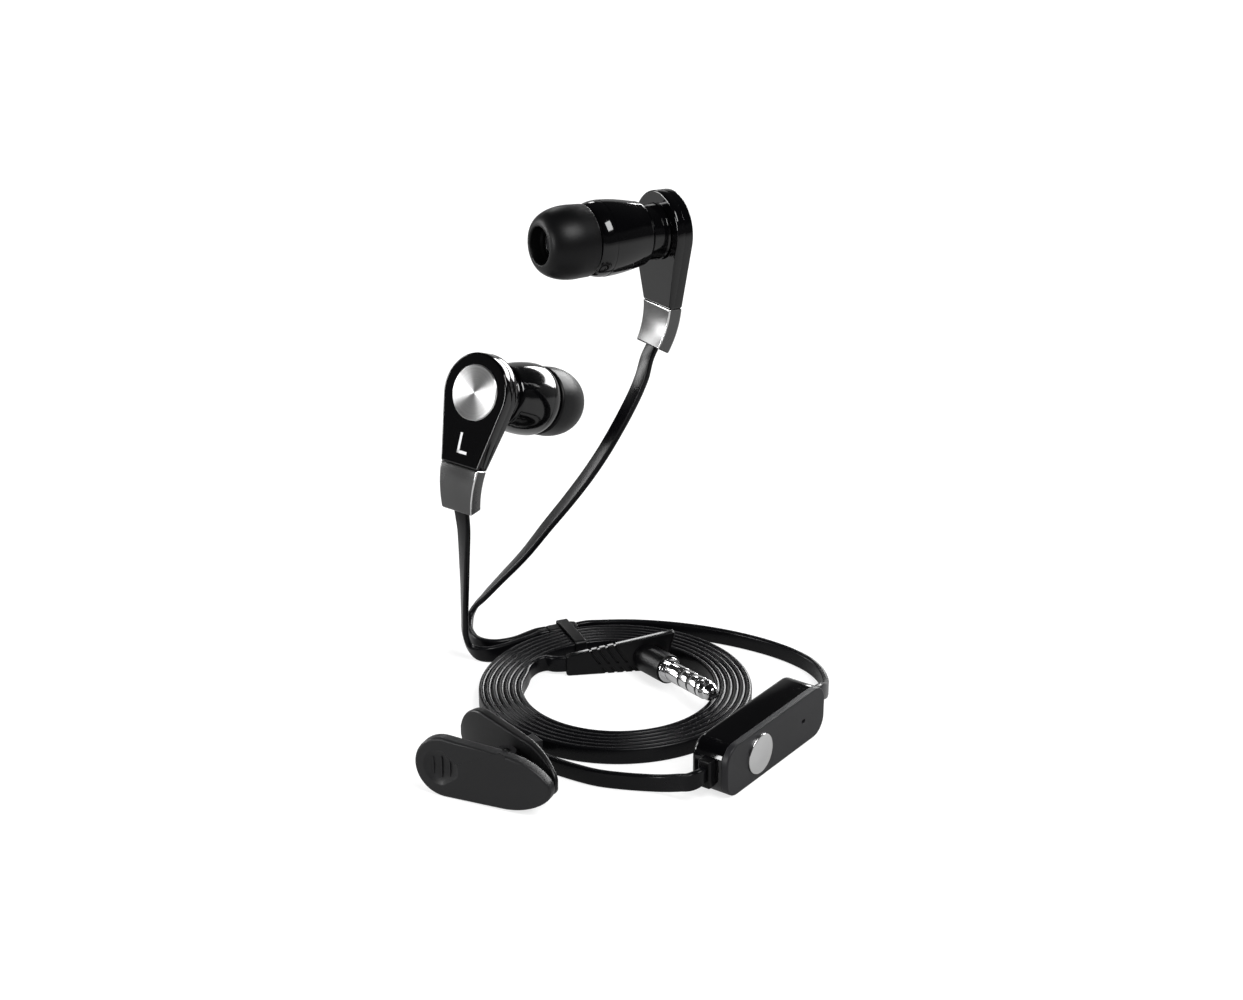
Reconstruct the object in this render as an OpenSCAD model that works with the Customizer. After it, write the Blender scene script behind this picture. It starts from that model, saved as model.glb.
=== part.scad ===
// Wired in-ear earphones on a flat cord: two earpieces, an in-line remote, a shirt clip and an angled
// four-pole plug, with the spare cord wound in a flat coil. Millimetres, +Z up, standing on z = 0.
// Each earpiece is drawn with its disc at the origin, X across the plate, Y inwards and Z up the stem.

/* [Plate] */
// Diameter of the round head of each plate
plate_d = 14; // [12:0.5:18]
// Thickness of the plate's outer shell
outer_shell_t = 1.7; // [1.4:0.1:2.5]
// Thickness of the plate's inner shell
inner_shell_t = 1.5; // [1.2:0.1:2.5]
// Diameter of the spun aluminium disc
disc_d = 9.8; // [7:0.1:11]
// Thickness of the disc
disc_t = 0.6; // [0.4:0.1:1]
// Distance from the disc's centre down to the collar
stem_l = 12.9; // [11:0.1:18]
// Height of the side mark's letter
mark_h = 3.6; // [2:0.1:4]

/* [Collar] */
// Width of the collar where it meets the plate
collar_top_w = 8.5; // [7:0.1:10]
// Width of the collar where the cord leaves it
collar_low_w = 6.9; // [5:0.1:8]
// Thickness of the collar
collar_t = 2.6; // [2.4:0.1:3]
// Wall of the collar
collar_wall = 0.4; // [0.3:0.05:0.5]
// Radius of the collar's bend towards the ear
collar_bend_r = 16; // [12:0.5:24]
// Angle of the collar's bend
collar_angle = 28; // [20:1:34]

/* [Barrel] */
// Diameter of the neck between plate and barrel
neck_d = 9.5; // [8:0.1:11]
// Length of the neck
neck_l = 3.3; // [2:0.1:5]
// Diameter of the barrel beside the neck
barrel_back_d = 11.4; // [10.6:0.1:12]
// Largest diameter of the barrel
barrel_d = 13; // [12.6:0.1:15]
// Length of the barrel's rear half
rear_barrel_l = 8.1; // [7.5:0.1:12]
// Length of the barrel's front half
front_barrel_l = 2.8; // [2.4:0.1:4]
// Wall of the barrel
barrel_wall = 0.9; // [0.6:0.1:1.1]
// Diameter of the nozzle
nozzle_d = 5.4; // [4.8:0.1:5.4]
// Length of the nozzle
nozzle_l = 6.1; // [5:0.1:6.4]
// Diameter of the lip that keeps the ear tip on
nozzle_lip_d = 5.9; // [5.6:0.1:5.9]
// Bore of the nozzle
nozzle_bore_d = 3.8; // [2.5:0.1:3.8]

/* [Driver] */
// Gap between the driver frame and the barrel round it
driver_gap = 0.6; // [0.4:0.1:1.2]
// Depth of the driver frame
driver_h = 3; // [2.6:0.1:4]
// Diameter of the magnet
magnet_d = 6; // [4:0.1:6.5]
// Thickness of the magnet
magnet_h = 1.2; // [0.8:0.1:1.3]

/* [Ear tip] */
// Diameter of the silicone ear tip
tip_d = 12.5; // [11.5:0.1:14]
// Length of the ear tip
tip_l = 8.7; // [8:0.1:11]
// Diameter of the opening in the ear tip
tip_mouth_d = 6.4; // [6.1:0.1:6.6]
// Thickness of the ear tip's skin
tip_skin = 0.6; // [0.4:0.05:0.8]

/* [Cord] */
// Width of the flat cord
cord_w = 3; // [2.6:0.1:3.2]
// Thickness of the flat cord
cord_t = 1.1; // [0.8:0.05:1.3]

/* [Coil] */
// Diameter over the outer turn
coil_d = 48.7; // [48.2:0.1:49]
// Distance from one turn to the next
coil_pitch = 1.12; // [1.12:0.01:1.15]
// Thickness of the cord as wound, which leaves the turns apart
coil_cord_t = 0.7; // [0.6:0.01:0.7]
// Width of the strap that ties the coil
tie_w = 2; // [1.5:0.1:4]
// Thickness of the strap
tie_t = 0.4; // [0.3:0.05:0.5]

/* [Remote] */
// Length of the remote
remote_l = 30; // [28:0.5:40]
// Height of the remote
remote_h = 9.3; // [9:0.1:12]
// Depth of the remote from front to back
remote_d = 7.1; // [6.5:0.1:9]
// Radius of the remote's corners
remote_corner_r = 3.2; // [2:0.1:4]
// Thickness of the front plate
front_plate_t = 1.2; // [1:0.1:1.5]
// Wall of the rear shell
remote_wall = 1; // [0.8:0.1:1.4]
// Diameter of the button
button_d = 7; // [5:0.1:7.2]
// Height that the button stands proud
button_proud = 0.7; // [0.5:0.1:1]
// Travel of the button
button_travel = 0.35; // [0.2:0.05:0.4]
// Distance of the button's centre from the remote's left end
button_from_end = 9.7; // [8.5:0.1:11]
// Diameter of the microphone hole
mic_hole_d = 1; // [0.6:0.1:1.6]
// Distance of the microphone hole from the remote's right end
mic_from_end = 6.8; // [5.5:0.1:9]
// Length of each gland
gland_l = 1.5; // [1:0.1:2.5]

/* [Clip] */
// Length of the clip's front paddle
paddle_l = 24.5; // [23:0.5:30]
// Height of the paddles at the finger end
paddle_h = 10.7; // [10.4:0.1:12.5]
// Height of the paddles' belly, behind the jaw
jaw_h = 9.8; // [8:0.1:10]
// Thickness of each paddle
paddle_t = 2; // [1.5:0.1:2.2]
// Distance of the hinge pin from the jaw's end
jaw_reach = 10.4; // [9:0.1:12]
// Diameter of the hinge pin
pin_d = 1.5; // [1.2:0.1:1.6]
// Angle between the two paddles' handles
handle_angle = 24; // [20:1:30]
// Diameter of the spring's wire
spring_wire_d = 0.4; // [0.3:0.05:0.5]

/* [Plug] */
// Diameter of the jack
jack_d = 3.5; // [3.5:0.1:3.5]
// Length of the jack from its shoulder
jack_l = 14; // [14:0.5:15]
// Diameter of the shoulder
shoulder_d = 4.6; // [4.4:0.1:5]
// Height of the plug's moulding at the elbow
elbow_h = 7.6; // [6.8:0.1:8]
// Height of the plug's moulding at the cord
plug_tail_h = 3.8; // [3.6:0.1:5]

/* [Hidden] */
$fn = 48;
eps = 0.01;

// clearances
seat_gap = 0.05; // between pieces seated in one another
run_gap = 0.05; // radial, round pins and the button
open_gap = 0.3; // between pieces that move past one another

// Where each assembly stands. The coil's centre is the layout's own origin; the object's origin is
// the middle of the box round the earpieces, remote and clip, on the floor.
origin_in_layout = [1.3, -3.6];
left_pos = [-24.5, 12.5, 52.8];
left_turn = [-20.6, 0, -38];
right_pos = [9.3, 21.9, 79.1];
right_turn = [2.6, 1.6, 122.1];
remote_pos = [26.6, -23.4, 0];
remote_yaw = 54;
clip_pos = [-17.9, -32.9, 0];
clip_yaw = -24;
jack_pos = [9, 5, 3.4];
jack_yaw = -57.8;
jack_tilt = 5.8;
splitter_pos = [-10.2, 23.4, 0];
splitter_yaw = 23.5;
plug_tail = [-9.2, 9.9];

// Routes of the cord, as points chosen by hand, each with the direction of the cord's width there.
// Each run's first and last points are where it meets its neighbours, derived further down.
left_by_hand = [
    [-26.83, 9.9, 28.15], [-26.89, 10.6, 24.96], [-27.03, 11.6, 20.64], [-27.17, 12.7, 16.02],
    [-27.38, 13.9, 11.1], [-27.48, 14.7, 7.92], [-27.5, 15.2, 5.46], [-27.3, 15.5, 4.2],
    [-26.6, 15.3, 2.5], [-25.3, 14.7, 1.7], [-23.4, 14.4, 1.55], [-21.2, 15.45, 1.5],
    [-18.5, 17.4, 1.5], [-16.1, 19.3, 1.5]
];
left_widths = [
    [0.788, -0.616, 0], [0.743, -0.669, 0], [0.643, -0.766, 0], [0.53, -0.848, 0],
    [0.407, -0.914, 0], [0.292, -0.956, 0], [0.208, -0.978, 0], [0.174, -0.985, 0],
    [0.17, -0.98, 0.05], [0.15, -0.95, 0.2], [0.1, -0.75, 0.6], [0.05, -0.35, 0.93],
    [0, -0.05, 1], [0, 0, 1], [0, 0, 1], [0, 0, 1], [0, 0, 1], [0, 0, 1]
];
right_by_hand = [
    [4.35, 17.9, 53.7], [3.58, 17.7, 51.69], [1.84, 17.7, 47.8], [-0.13, 18.1, 43.75],
    [-2.31, 18.9, 39.46], [-4.82, 20.0, 35], [-8.69, 21.8, 28.83], [-12.49, 23.5, 23.22],
    [-17.26, 25.4, 16.16], [-21.61, 26.9, 10.67], [-24.78, 27.7, 6.75], [-26.53, 28, 4.61],
    [-27.2, 27.6, 3.4], [-27.4, 26.1, 2.3], [-27.25, 23.9, 1.75], [-26.6, 20.9, 1.55],
    [-25.6, 18.9, 1.5], [-23.9, 17.7, 1.5], [-22.1, 17.45, 1.5], [-19.9, 18.1, 1.5],
    [-18.3, 19.05, 1.5], [-16.6, 20.6, 1.5]
];
right_widths = [
    [-0.53, 0.85, -0.03], [-0.55, 0.83, 0], [-0.62, 0.78, 0], [-0.6, 0.8, 0],
    [-0.58, 0.81, 0], [-0.55, 0.83, 0], [-0.52, 0.85, 0], [-0.5, 0.87, 0],
    [-0.46, 0.88, -0.05], [-0.4, 0.91, -0.1], [-0.3, 0.93, -0.18], [-0.22, 0.94, -0.26],
    [-0.16, 0.92, -0.35], [-0.1, 0.86, -0.5], [-0.04, 0.8, -0.6], [0, 0.6, -0.8],
    [0, 0.35, -0.94], [0, 0.15, -0.98], [0, 0.05, -1], [0, 0, -1], [0, 0, -1],
    [0, 0, -1], [0, 0, -1], [0, 0, -1], [0, 0, -1], [0, 0, -1]
];
back_by_hand = [
    [-3.0, 25.6, 1.5], [1.6, 25.8, 1.5], [6.1, 25.45, 1.5], [10.8, 24.6, 1.5], [15.2, 23.35, 1.5],
    [20.0, 21.5, 1.5], [24.4, 19.25, 1.5], [28.3, 16.7, 1.5], [31.9, 13.55, 1.5],
    [34.6, 10.15, 1.5], [36.1, 6.8, 1.5], [36.7, 2.9, 1.7], [36.4, -1.4, 2.6]
];
front_by_hand = [
    [12.0, -35.6, 3.9], [10.0, -34.4, 3.0], [7.6, -33.0, 2.1], [4.6, -31.9, 1.6],
    [1.0, -31.2, 1.5], [-3.0, -30.2, 1.5], [-7.2, -28.1, 1.5], [-11.2, -25.4, 1.5],
    [-14.5, -22.1, 1.5]
];
lead_by_hand = [[-13.8, 10.4, 1.6], [-12.7, 10.7, 1.7], [-11.4, 9.9, 1.9]];

// derived sizes of the earpiece
plate_t = outer_shell_t + inner_shell_t;
barrel_y = plate_t + neck_l;
front_barrel_y = barrel_y + rear_barrel_l;
nozzle_y = front_barrel_y + front_barrel_l;
nozzle_end = nozzle_y + nozzle_l;
tip_y = nozzle_y + 0.1;
inner_d = barrel_d - 2 * barrel_wall;
driver_d = inner_d - 2 * driver_gap;
driver_y = front_barrel_y - driver_h;
collar_mid = collar_t / 2;
tongue_w = collar_low_w - 2 * collar_wall - 0.6;
tongue_y = 0.75;
tongue_t = 1.25;
tongue_l = 2.4;
collar_l = collar_bend_r * sin(collar_angle);
mark_stroke = 0.55;
mark_t = 0.2;
mark_z = stem_l - 3.9;
wall_floor = 1; // thickness of the floors and lips turned inside the barrel

// derived sizes of the cord and coil
cord_mid_z = cord_w / 2;
coil_r = (coil_d - cord_t) / 2;
coil_start = 208;
coil_rings = 24;
coil_turns = 6.14;
tie_angle = 112.5;

// derived sizes of the remote
button_x = button_from_end - remote_l / 2;
mic_x = remote_l / 2 - mic_from_end;
gland_h = 5;
gland_w = 2.4;
remote_mid_z = remote_h / 2;
cavity_d = remote_d - front_plate_t - remote_wall;
button_flange_d = button_d + 0.8;
button_flange_t = 0.5;
button_tab_h = remote_h - 2 * remote_wall - 1;
board_t = 0.8;
board_y = remote_d - remote_wall - board_t;
switch_h = board_y - front_plate_t - button_flange_t - seat_gap - button_travel - 0.15 - 0.6;

// derived sizes of the clip
handle_r = paddle_h / 2;
jaw_r = jaw_h / 2;
nose_r = 0.505 * jaw_r; // rounding of the jaw's end
handle_x = jaw_reach - paddle_l + handle_r;
jaw_x = jaw_reach - 9.1;
nose_x = jaw_reach - 0.08 - nose_r;
front_face_y = -5;
front_inner_y = front_face_y + paddle_t;
jaw_raise = 0.2;
jaw_z = jaw_r + jaw_raise;
jaw_l = nose_x - jaw_x;
jaw_fall = (jaw_r - nose_r) / pow(jaw_l, 2);
lug_r = pin_d / 2 + 1;
pin_l = 7.3;
pin_z = 0.9;
lug_t = 0.9;

// derived sizes of the plug
jack_r = jack_d / 2;
shoulder_t = 0.8;
stub_wall = 0.3; // round the shoulder
elbow_back = 8.3;
elbow_w = 2.8;
elbow_reach = 4.2; // of the elbow's foot, which stands inside the coil
elbow_foot_h = 4.4;
overhang = 1.4; // of the elbow's top, over its foot
tail_w = 2.6;
plug_corner_r = 0.7;
top_strip_w = 1.3; // of the flat on the moulding's top, with a chamfer behind it
top_chamfer = 0.9;
groove_from = 4.3; // from the tail to the first groove, along the top
groove_step = 1.47;
groove_w = 0.4;
groove_depth = 0.35;
groove_slant = 32.6;
spine_z = 1.25; // height of the uncut spine along the moulding's sides
spine_h = 0.7;
insulator_t = 0.5;
pole_l = 2.2;
cone_l = 3.4;

jack_dir = [cos(jack_tilt) * cos(jack_yaw), cos(jack_tilt) * sin(jack_yaw), sin(jack_tilt)];
elbow = jack_pos - jack_dir * elbow_back;
plug_yaw = atan2(elbow[1] - plug_tail[1], elbow[0] - plug_tail[0]);
pole_z = shoulder_t + jack_l - cone_l;

// a point turned about X, then Y, then Z, as rotate() turns it
function turn_x(a, v) = [v[0], v[1] * cos(a) - v[2] * sin(a), v[1] * sin(a) + v[2] * cos(a)];
function turn_y(a, v) = [v[0] * cos(a) + v[2] * sin(a), v[1], v[2] * cos(a) - v[0] * sin(a)];
function turn_z(a, v) = [v[0] * cos(a) - v[1] * sin(a), v[0] * sin(a) + v[1] * cos(a), v[2]];
function turned(angles, v) = turn_z(angles[2], turn_y(angles[1], turn_x(angles[0], v)));
function unit(v) = v / norm(v);
function cap(i, n) = max(0, min(n - 1, i));
function tangent(p, i) = unit(p[cap(i + 1, len(p))] - p[cap(i - 1, len(p))]);
function across(w, t) = unit(w - (w * t) * t);

// One ring of a flat cord: eight corners of a width by thickness strip with cut corners
function flat_ring(c, wide, thin, w, t) = [
    for (k = [[1, 0.5], [0.78, 1], [-0.78, 1], [-1, 0.5], [-1, -0.5], [-0.78, -1], [0.78, -1], [1, -0.5]])
        c + wide * (k[0] * w / 2) + thin * (k[1] * t / 2)
];

// One ring of the wound cord: six corners
function wound_ring(c, wide, thin, w, t) = [
    for (k = [[1, 0], [0.8, 1], [-0.8, 1], [-1, 0], [-0.8, -1], [0.8, -1]])
        c + wide * (k[0] * w / 2) + thin * (k[1] * t / 2)
];

// A closed skin over a list of rings, with triangles between them and a fan at each end
module skin(rings) {
    n = len(rings[0]);
    m = len(rings);
    sides = [for (i = [0:m - 2], k = [0:n - 1]) let (a = i * n + k, b = i * n + (k + 1) % n)
        each [[a, a + n, b], [b, a + n, b + n]]];
    caps = [for (k = [1:n - 2]) each [[0, k, k + 1], [(m - 1) * n, (m - 1) * n + k + 1, (m - 1) * n + k]]];
    polyhedron(points = [for (r = rings) each r], faces = concat(sides, caps));
}

function upright(route) = [for (p = route) [0, 0, 1]];

// A flat cord along a route, with the width direction given at each point
module flat_cord(route, widths) {
    skin([for (i = [0:len(route) - 1]) let (t = tangent(route, i), w = across(widths[cap(i, len(widths))], t))
        flat_ring(route[i], w, cross(t, w), cord_w, cord_t)]);
}

// The coil: a flat spiral wound clockwise inwards, with a straight lead of one cord width at each end
function coil_angle(i) = coil_start - i * 360 / coil_rings;
function coil_radius(i) = coil_r - coil_pitch * i / coil_rings;
function coil_point(i) = [
    coil_radius(i) * cos(coil_angle(i)), coil_radius(i) * sin(coil_angle(i)), cord_mid_z];
coil_steps = round(coil_turns * coil_rings);
coil_centres = [for (i = [0:coil_steps]) coil_point(i)];
coil_in = unit(coil_centres[0] - coil_centres[1]);
coil_out = unit(coil_centres[coil_steps] - coil_centres[coil_steps - 1]);
coil_path = concat([coil_centres[0] + coil_in * cord_w], coil_centres,
    [coil_centres[coil_steps] + coil_out * cord_w]);
// Distance between the flat sides of neighbouring turns, measured at every point one turn apart
coil_gaps = [for (i = [0:coil_steps - coil_rings])
    norm(coil_centres[i] - coil_centres[i + coil_rings]) * cos(180 / coil_rings) - coil_cord_t];
echo(coil_least_gap_mm = min(coil_gaps));

// Where each run of cord meets its neighbours, and the way it heads there
exit_low = [0, collar_mid + collar_bend_r * (1 - cos(collar_angle)), -stem_l - collar_l];
exit_way = [0, sin(collar_angle), -cos(collar_angle)];
left_exit = left_pos + turned(left_turn, exit_low);
right_exit = right_pos + turned(right_turn, exit_low);
left_exit_way = turned(left_turn, exit_way);
right_exit_way = turned(right_turn, exit_way);
splitter_way = turn_z(splitter_yaw, [1, 0, 0]);
splitter_l = 6;
splitter_w = 2.6;
splitter_h = cord_w;
entry_offset = cord_t / 2 + 0.1;
function splitter_port(x, y) = splitter_pos + turn_z(splitter_yaw, [x, y, cord_mid_z]);
remote_way = turn_z(remote_yaw, [1, 0, 0]);
function gland_port(side) = remote_pos
    + turn_z(remote_yaw, [side * (remote_l / 2 + gland_l), remote_d / 2, remote_mid_z]);
plug_way = unit([for (k = [0, 1]) elbow[k] - plug_tail[k]]);
lead_end = [plug_tail[0], plug_tail[1], 0.05 + plug_tail_h / 2];
function port_pair(p, way, step = 1.8) = [p, p + way * step];
function reversed(v) = [for (i = [len(v) - 1:-1:0]) v[i]];
left_route = concat(port_pair(left_exit, left_exit_way), left_by_hand,
    reversed(port_pair(splitter_port(-splitter_l / 2, -entry_offset), -splitter_way)));
right_route = concat(port_pair(right_exit, right_exit_way), right_by_hand,
    reversed(port_pair(splitter_port(-splitter_l / 2, entry_offset), -splitter_way)));
back_route = concat(port_pair(splitter_port(splitter_l / 2, 0), splitter_way), back_by_hand,
    reversed(port_pair(gland_port(1), remote_way)));
front_route = concat(port_pair(gland_port(-1), -remote_way, 1.2), front_by_hand,
    reversed(port_pair(coil_path[0], coil_in)));
lead_route = concat([coil_path[len(coil_path) - 1]], lead_by_hand,
    reversed(port_pair(lead_end, [-plug_way[0], -plug_way[1], 0], 1)));
hook_place = front_route[len(front_route) - 3];
hook_tangent = tangent(front_route, len(front_route) - 3);

// A teardrop outline: the round head and a stem that narrows to the collar, as one polygon
head_steps = 44;
module teardrop() {
    r = plate_d / 2;
    w = collar_top_w / 2;
    turn = atan2(-stem_l, w) + acos(r / norm([w, stem_l]));
    polygon(concat([for (s = [0:head_steps]) let (a = turn + (180 - 2 * turn) * s / head_steps)
        [r * cos(a), r * sin(a)]], [[-w, -stem_l], [w, -stem_l]]));
}

module rounded_rect(w, h, r) {
    square([w - 2 * r, h], center = true);
    square([w, h - 2 * r], center = true);
    for (x = [-1, 1], y = [-1, 1])
        translate([x * (w / 2 - r), y * (h / 2 - r)]) circle(r);
}

// Extrudes a flat shape drawn in X and Z along Y, from y0 by depth t
module slab(y0, t) {
    translate([0, y0 + t, 0]) rotate([90, 0, 0]) linear_extrude(t) children();
}

// Turns children drawn along Z so that they run along Y, starting at y0
module along_y(y0 = 0) {
    translate([0, y0, 0]) rotate([-90, 0, 0]) children();
}

module tube(r_out, r_in, h) {
    difference() {
        cylinder(r = r_out, h = h);
        translate([0, 0, -eps]) cylinder(r = r_in, h = h + 2 * eps);
    }
}

// Strokes of the side marks, in the plate's own X and Z
module letter_l(grow = 0) {
    s = mark_stroke + 2 * grow;
    translate([-1.1 - grow, -mark_h / 2 - grow]) square([s, mark_h + 2 * grow]);
    translate([-1.1 - grow, -mark_h / 2 - grow]) square([2.2 + 2 * grow, s]);
}

module letter_r(grow = 0) {
    s = mark_stroke + 2 * grow;
    bowl_r = mark_h / 4 + mark_stroke / 4;
    translate([-1.1 - grow, -mark_h / 2 - grow]) square([s, mark_h + 2 * grow]);
    difference() {
        translate([0, mark_h / 2 - bowl_r]) circle(bowl_r + grow);
        translate([0, mark_h / 2 - bowl_r]) circle(bowl_r - mark_stroke - grow);
        translate([-2, mark_h / 2 - 2 * bowl_r]) square([2, 2 * bowl_r]);
    }
    for (z = [mark_h / 2 - mark_stroke, mark_h / 2 - 2 * bowl_r])
        translate([-1.1, z - grow]) square([1.2, s]);
    translate([0, mark_h / 2 - 2 * bowl_r]) rotate(-58) translate([0, -mark_stroke / 2 - grow])
        square([mark_h / 2 + grow, s]);
}

module outer_shell(is_left) {
    difference() {
        slab(0, outer_shell_t) teardrop();
        along_y(-eps) cylinder(d = disc_d + 2 * seat_gap, h = disc_t + eps);
        slab(-eps, mark_t + eps) translate([0, -mark_z])
            if (is_left) letter_l(seat_gap); else letter_r(seat_gap);
        along_y(outer_shell_t - 0.5) cylinder(d = neck_d - 1, h = 0.5 + eps);
    }
}

// The inner shell thins from the head to the collar, and its tongue fills the collar's mouth
module inner_shell() {
    slope = atan2(plate_t - collar_t, stem_l - neck_d / 2);
    difference() {
        slab(outer_shell_t, inner_shell_t) teardrop();
        along_y(outer_shell_t - eps) cylinder(d = neck_d - 3, h = inner_shell_t + 2 * eps);
        translate([-plate_d, plate_t, -neck_d / 2 - 0.2]) rotate([slope, 0, 0])
            translate([0, 0, -2 * plate_d]) cube([2 * plate_d, plate_t, 2 * plate_d]);
    }
    translate([-tongue_w / 2, tongue_y, -stem_l - tongue_l]) cube([tongue_w, tongue_t, tongue_l]);
    translate([-tongue_w / 2, outer_shell_t + seat_gap, -stem_l - eps])
        cube([tongue_w, tongue_y + tongue_t - outer_shell_t - seat_gap, 0.4]);
}

module disc() {
    along_y(0) {
        cylinder(d = disc_d, h = disc_t - seat_gap);
        translate([0, 0, -0.12]) cylinder(d1 = disc_d - 0.5, d2 = disc_d - 0.24, h = 0.12);
    }
}

module side_mark(is_left) {
    slab(0, mark_t) translate([0, -mark_z])
        if (is_left) letter_l(); else letter_r();
}

module neck() {
    along_y(plate_t) tube(neck_d / 2, neck_d / 2 - 1.2, neck_l);
}

// Rear half of the barrel: a cup that widens towards the ear
module rear_barrel() {
    back_r = barrel_back_d / 2;
    r = barrel_d / 2;
    along_y(barrel_y) rotate_extrude() polygon([
        [neck_d / 2 - 1.2, 0], [back_r - 0.5, 0], [back_r, 0.5],
        for (s = [1:8]) [back_r + (r - back_r) * sin(s * 11.25), 0.5 + (rear_barrel_l - 0.5) * s / 8],
        [inner_d / 2, rear_barrel_l], [inner_d / 2, rear_barrel_l - driver_h - 1],
        [neck_d / 2 - 1.2, wall_floor]]);
}

// Front half of the barrel: a round shoulder that carries the nozzle and its lip
module front_barrel() {
    r = barrel_d / 2;
    along_y(front_barrel_y) rotate_extrude() polygon([
        [inner_d / 2, 0], [r, 0],
        for (s = [1:6]) [r - 1.3 * (1 - cos(s * 15)), front_barrel_l * sin(s * 15)],
        [nozzle_d / 2, front_barrel_l], [nozzle_d / 2, front_barrel_l + nozzle_l - wall_floor],
        [nozzle_lip_d / 2, front_barrel_l + nozzle_l - wall_floor + 0.3],
        [nozzle_lip_d / 2, front_barrel_l + nozzle_l],
        [nozzle_bore_d / 2 + 0.4, front_barrel_l + nozzle_l],
        [nozzle_bore_d / 2 + 0.4, front_barrel_l + nozzle_l - 0.4],
        [nozzle_bore_d / 2, front_barrel_l + nozzle_l - 0.4],
        [nozzle_bore_d / 2, front_barrel_l - wall_floor], [inner_d / 2 - 1, front_barrel_l - wall_floor],
        [inner_d / 2 - 1, 0.4], [inner_d / 2, 0.4]]);
}

module driver_frame() {
    r = driver_d / 2;
    along_y(driver_y) rotate_extrude() polygon([
        [0.6, 0], [r, 0], [r, driver_h - 0.5], [inner_d / 2 - seat_gap, driver_h - 0.5],
        [inner_d / 2 - seat_gap, driver_h], [r - 0.5, driver_h], [r - 0.5, 0.5], [0.6, 0.5]]);
}

module magnet() {
    along_y(driver_y + 0.5) cylinder(d = magnet_d, h = magnet_h);
}

module diaphragm() {
    r = driver_d / 2 - 0.5;
    along_y(driver_y + driver_h - 0.6) {
        tube(magnet_d / 2 + 0.5, magnet_d / 2 + 0.25, 0.2);
        translate([0, 0, -0.5]) tube(magnet_d / 2 + 0.5, magnet_d / 2 + 0.25, 0.5 + eps);
        translate([0, 0, 0.2 - eps]) cylinder(r = r, h = 0.15);
    }
}

module mesh_screen() {
    along_y(nozzle_end - 0.4) cylinder(r = nozzle_bore_d / 2 + 0.4 - seat_gap, h = 0.3);
}

// Ear tip: a domed skin turned back over the sleeve that grips the nozzle
module ear_tip() {
    r = tip_d / 2;
    mouth = tip_mouth_d / 2;
    sleeve = nozzle_lip_d / 2 + seat_gap;
    dome = tip_l * 0.66;
    steps = 9;
    along_y(tip_y) rotate_extrude() polygon([
        [sleeve, 0.5], [sleeve, nozzle_l + 0.1], [mouth, nozzle_l + 0.5], [mouth, tip_l - 0.3],
        [mouth + 0.2, tip_l],
        for (s = [steps:-1:0]) let (a = s * 82 / steps)
            [mouth + 0.3 + (r - mouth - 0.3) * cos(a), tip_l - dome + (dome - 0.1) * sin(a)],
        [r - 0.15, 0.25], [r - 0.3, 0], [r - 0.3 - tip_skin, 0], [r - tip_skin, 0.5],
        for (s = [0:steps - 1]) let (a = s * 74 / steps)
            [mouth + 0.3 + (r - tip_skin - mouth - 0.3) * cos(a),
                tip_l - dome + (dome - 0.1 - tip_skin - 0.5) * sin(a)],
        [sleeve + 0.7, nozzle_l - 0.6], [sleeve + 0.7, 0.5]]);
}

// A strip bent about an axis beyond the collar's inner side: w wide and t thick, over the whole bend
module bent_bar(w, t) {
    translate([0, collar_mid + collar_bend_r, -stem_l]) rotate([0, 90, 0]) rotate([0, 0, -90])
        rotate_extrude(angle = collar_angle, $fn = 96)
            translate([collar_bend_r, 0]) square([t, w], center = true);
}

// Sides of the collar, drawn in X and Z: it narrows evenly towards the cord
module collar_sides(inset) {
    top = collar_top_w / 2 - inset;
    low = collar_low_w / 2 - inset;
    slab(-plate_d, 3 * plate_d) polygon([[top, -stem_l + 1], [top, -stem_l], [low, -stem_l - collar_l],
        [low, -stem_l - collar_l - 2], [-low, -stem_l - collar_l - 2], [-low, -stem_l - collar_l],
        [-top, -stem_l], [-top, -stem_l + 1]]);
}

module collar() {
    difference() {
        intersection() {
            bent_bar(collar_top_w + 1, collar_t);
            collar_sides(0);
        }
        intersection() {
            bent_bar(collar_top_w + 2, collar_t - 2 * collar_wall);
            collar_sides(collar_wall);
        }
    }
}

// The moulded end of the cord, wedged in the collar's mouth
module cord_anchor() {
    translate([0, collar_mid + collar_bend_r, -stem_l]) rotate([0, 90, 0]) rotate([0, 0, -90])
        rotate([0, 0, collar_angle - 11]) rotate_extrude(angle = 11, $fn = 96)
            translate([collar_bend_r, 0])
                square([collar_t - 2 * collar_wall - 2 * seat_gap, collar_low_w - 2 * collar_wall - 0.2],
                    center = true);
}

module earpiece_place(is_left) {
    in_layout() translate(is_left ? left_pos : right_pos) rotate(is_left ? left_turn : right_turn)
        children();
}

module in_layout() {
    translate([-origin_in_layout[0], -origin_in_layout[1], 0]) children();
}

// remote, drawn with X along it, its front at y = 0 and its underside at z = 0
module remote_place() {
    in_layout() translate(remote_pos) rotate([0, 0, remote_yaw]) children();
}

module remote_front_plate() {
    difference() {
        slab(0, front_plate_t) translate([0, remote_mid_z])
            rounded_rect(remote_l, remote_h, remote_corner_r);
        translate([button_x, 0, remote_mid_z]) along_y(-eps)
            cylinder(r = button_d / 2 + run_gap, h = front_plate_t + 2 * eps);
        translate([mic_x, 0, remote_mid_z]) along_y(-eps)
            cylinder(d = mic_hole_d, h = front_plate_t + 2 * eps);
    }
}

module remote_rear_shell() {
    difference() {
        slab(front_plate_t, remote_d - front_plate_t) translate([0, remote_mid_z])
            rounded_rect(remote_l, remote_h, remote_corner_r);
        slab(front_plate_t - eps, cavity_d + eps) translate([0, remote_mid_z])
            rounded_rect(remote_l - 2 * remote_wall, remote_h - 2 * remote_wall,
                remote_corner_r - remote_wall);
    }
}

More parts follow.
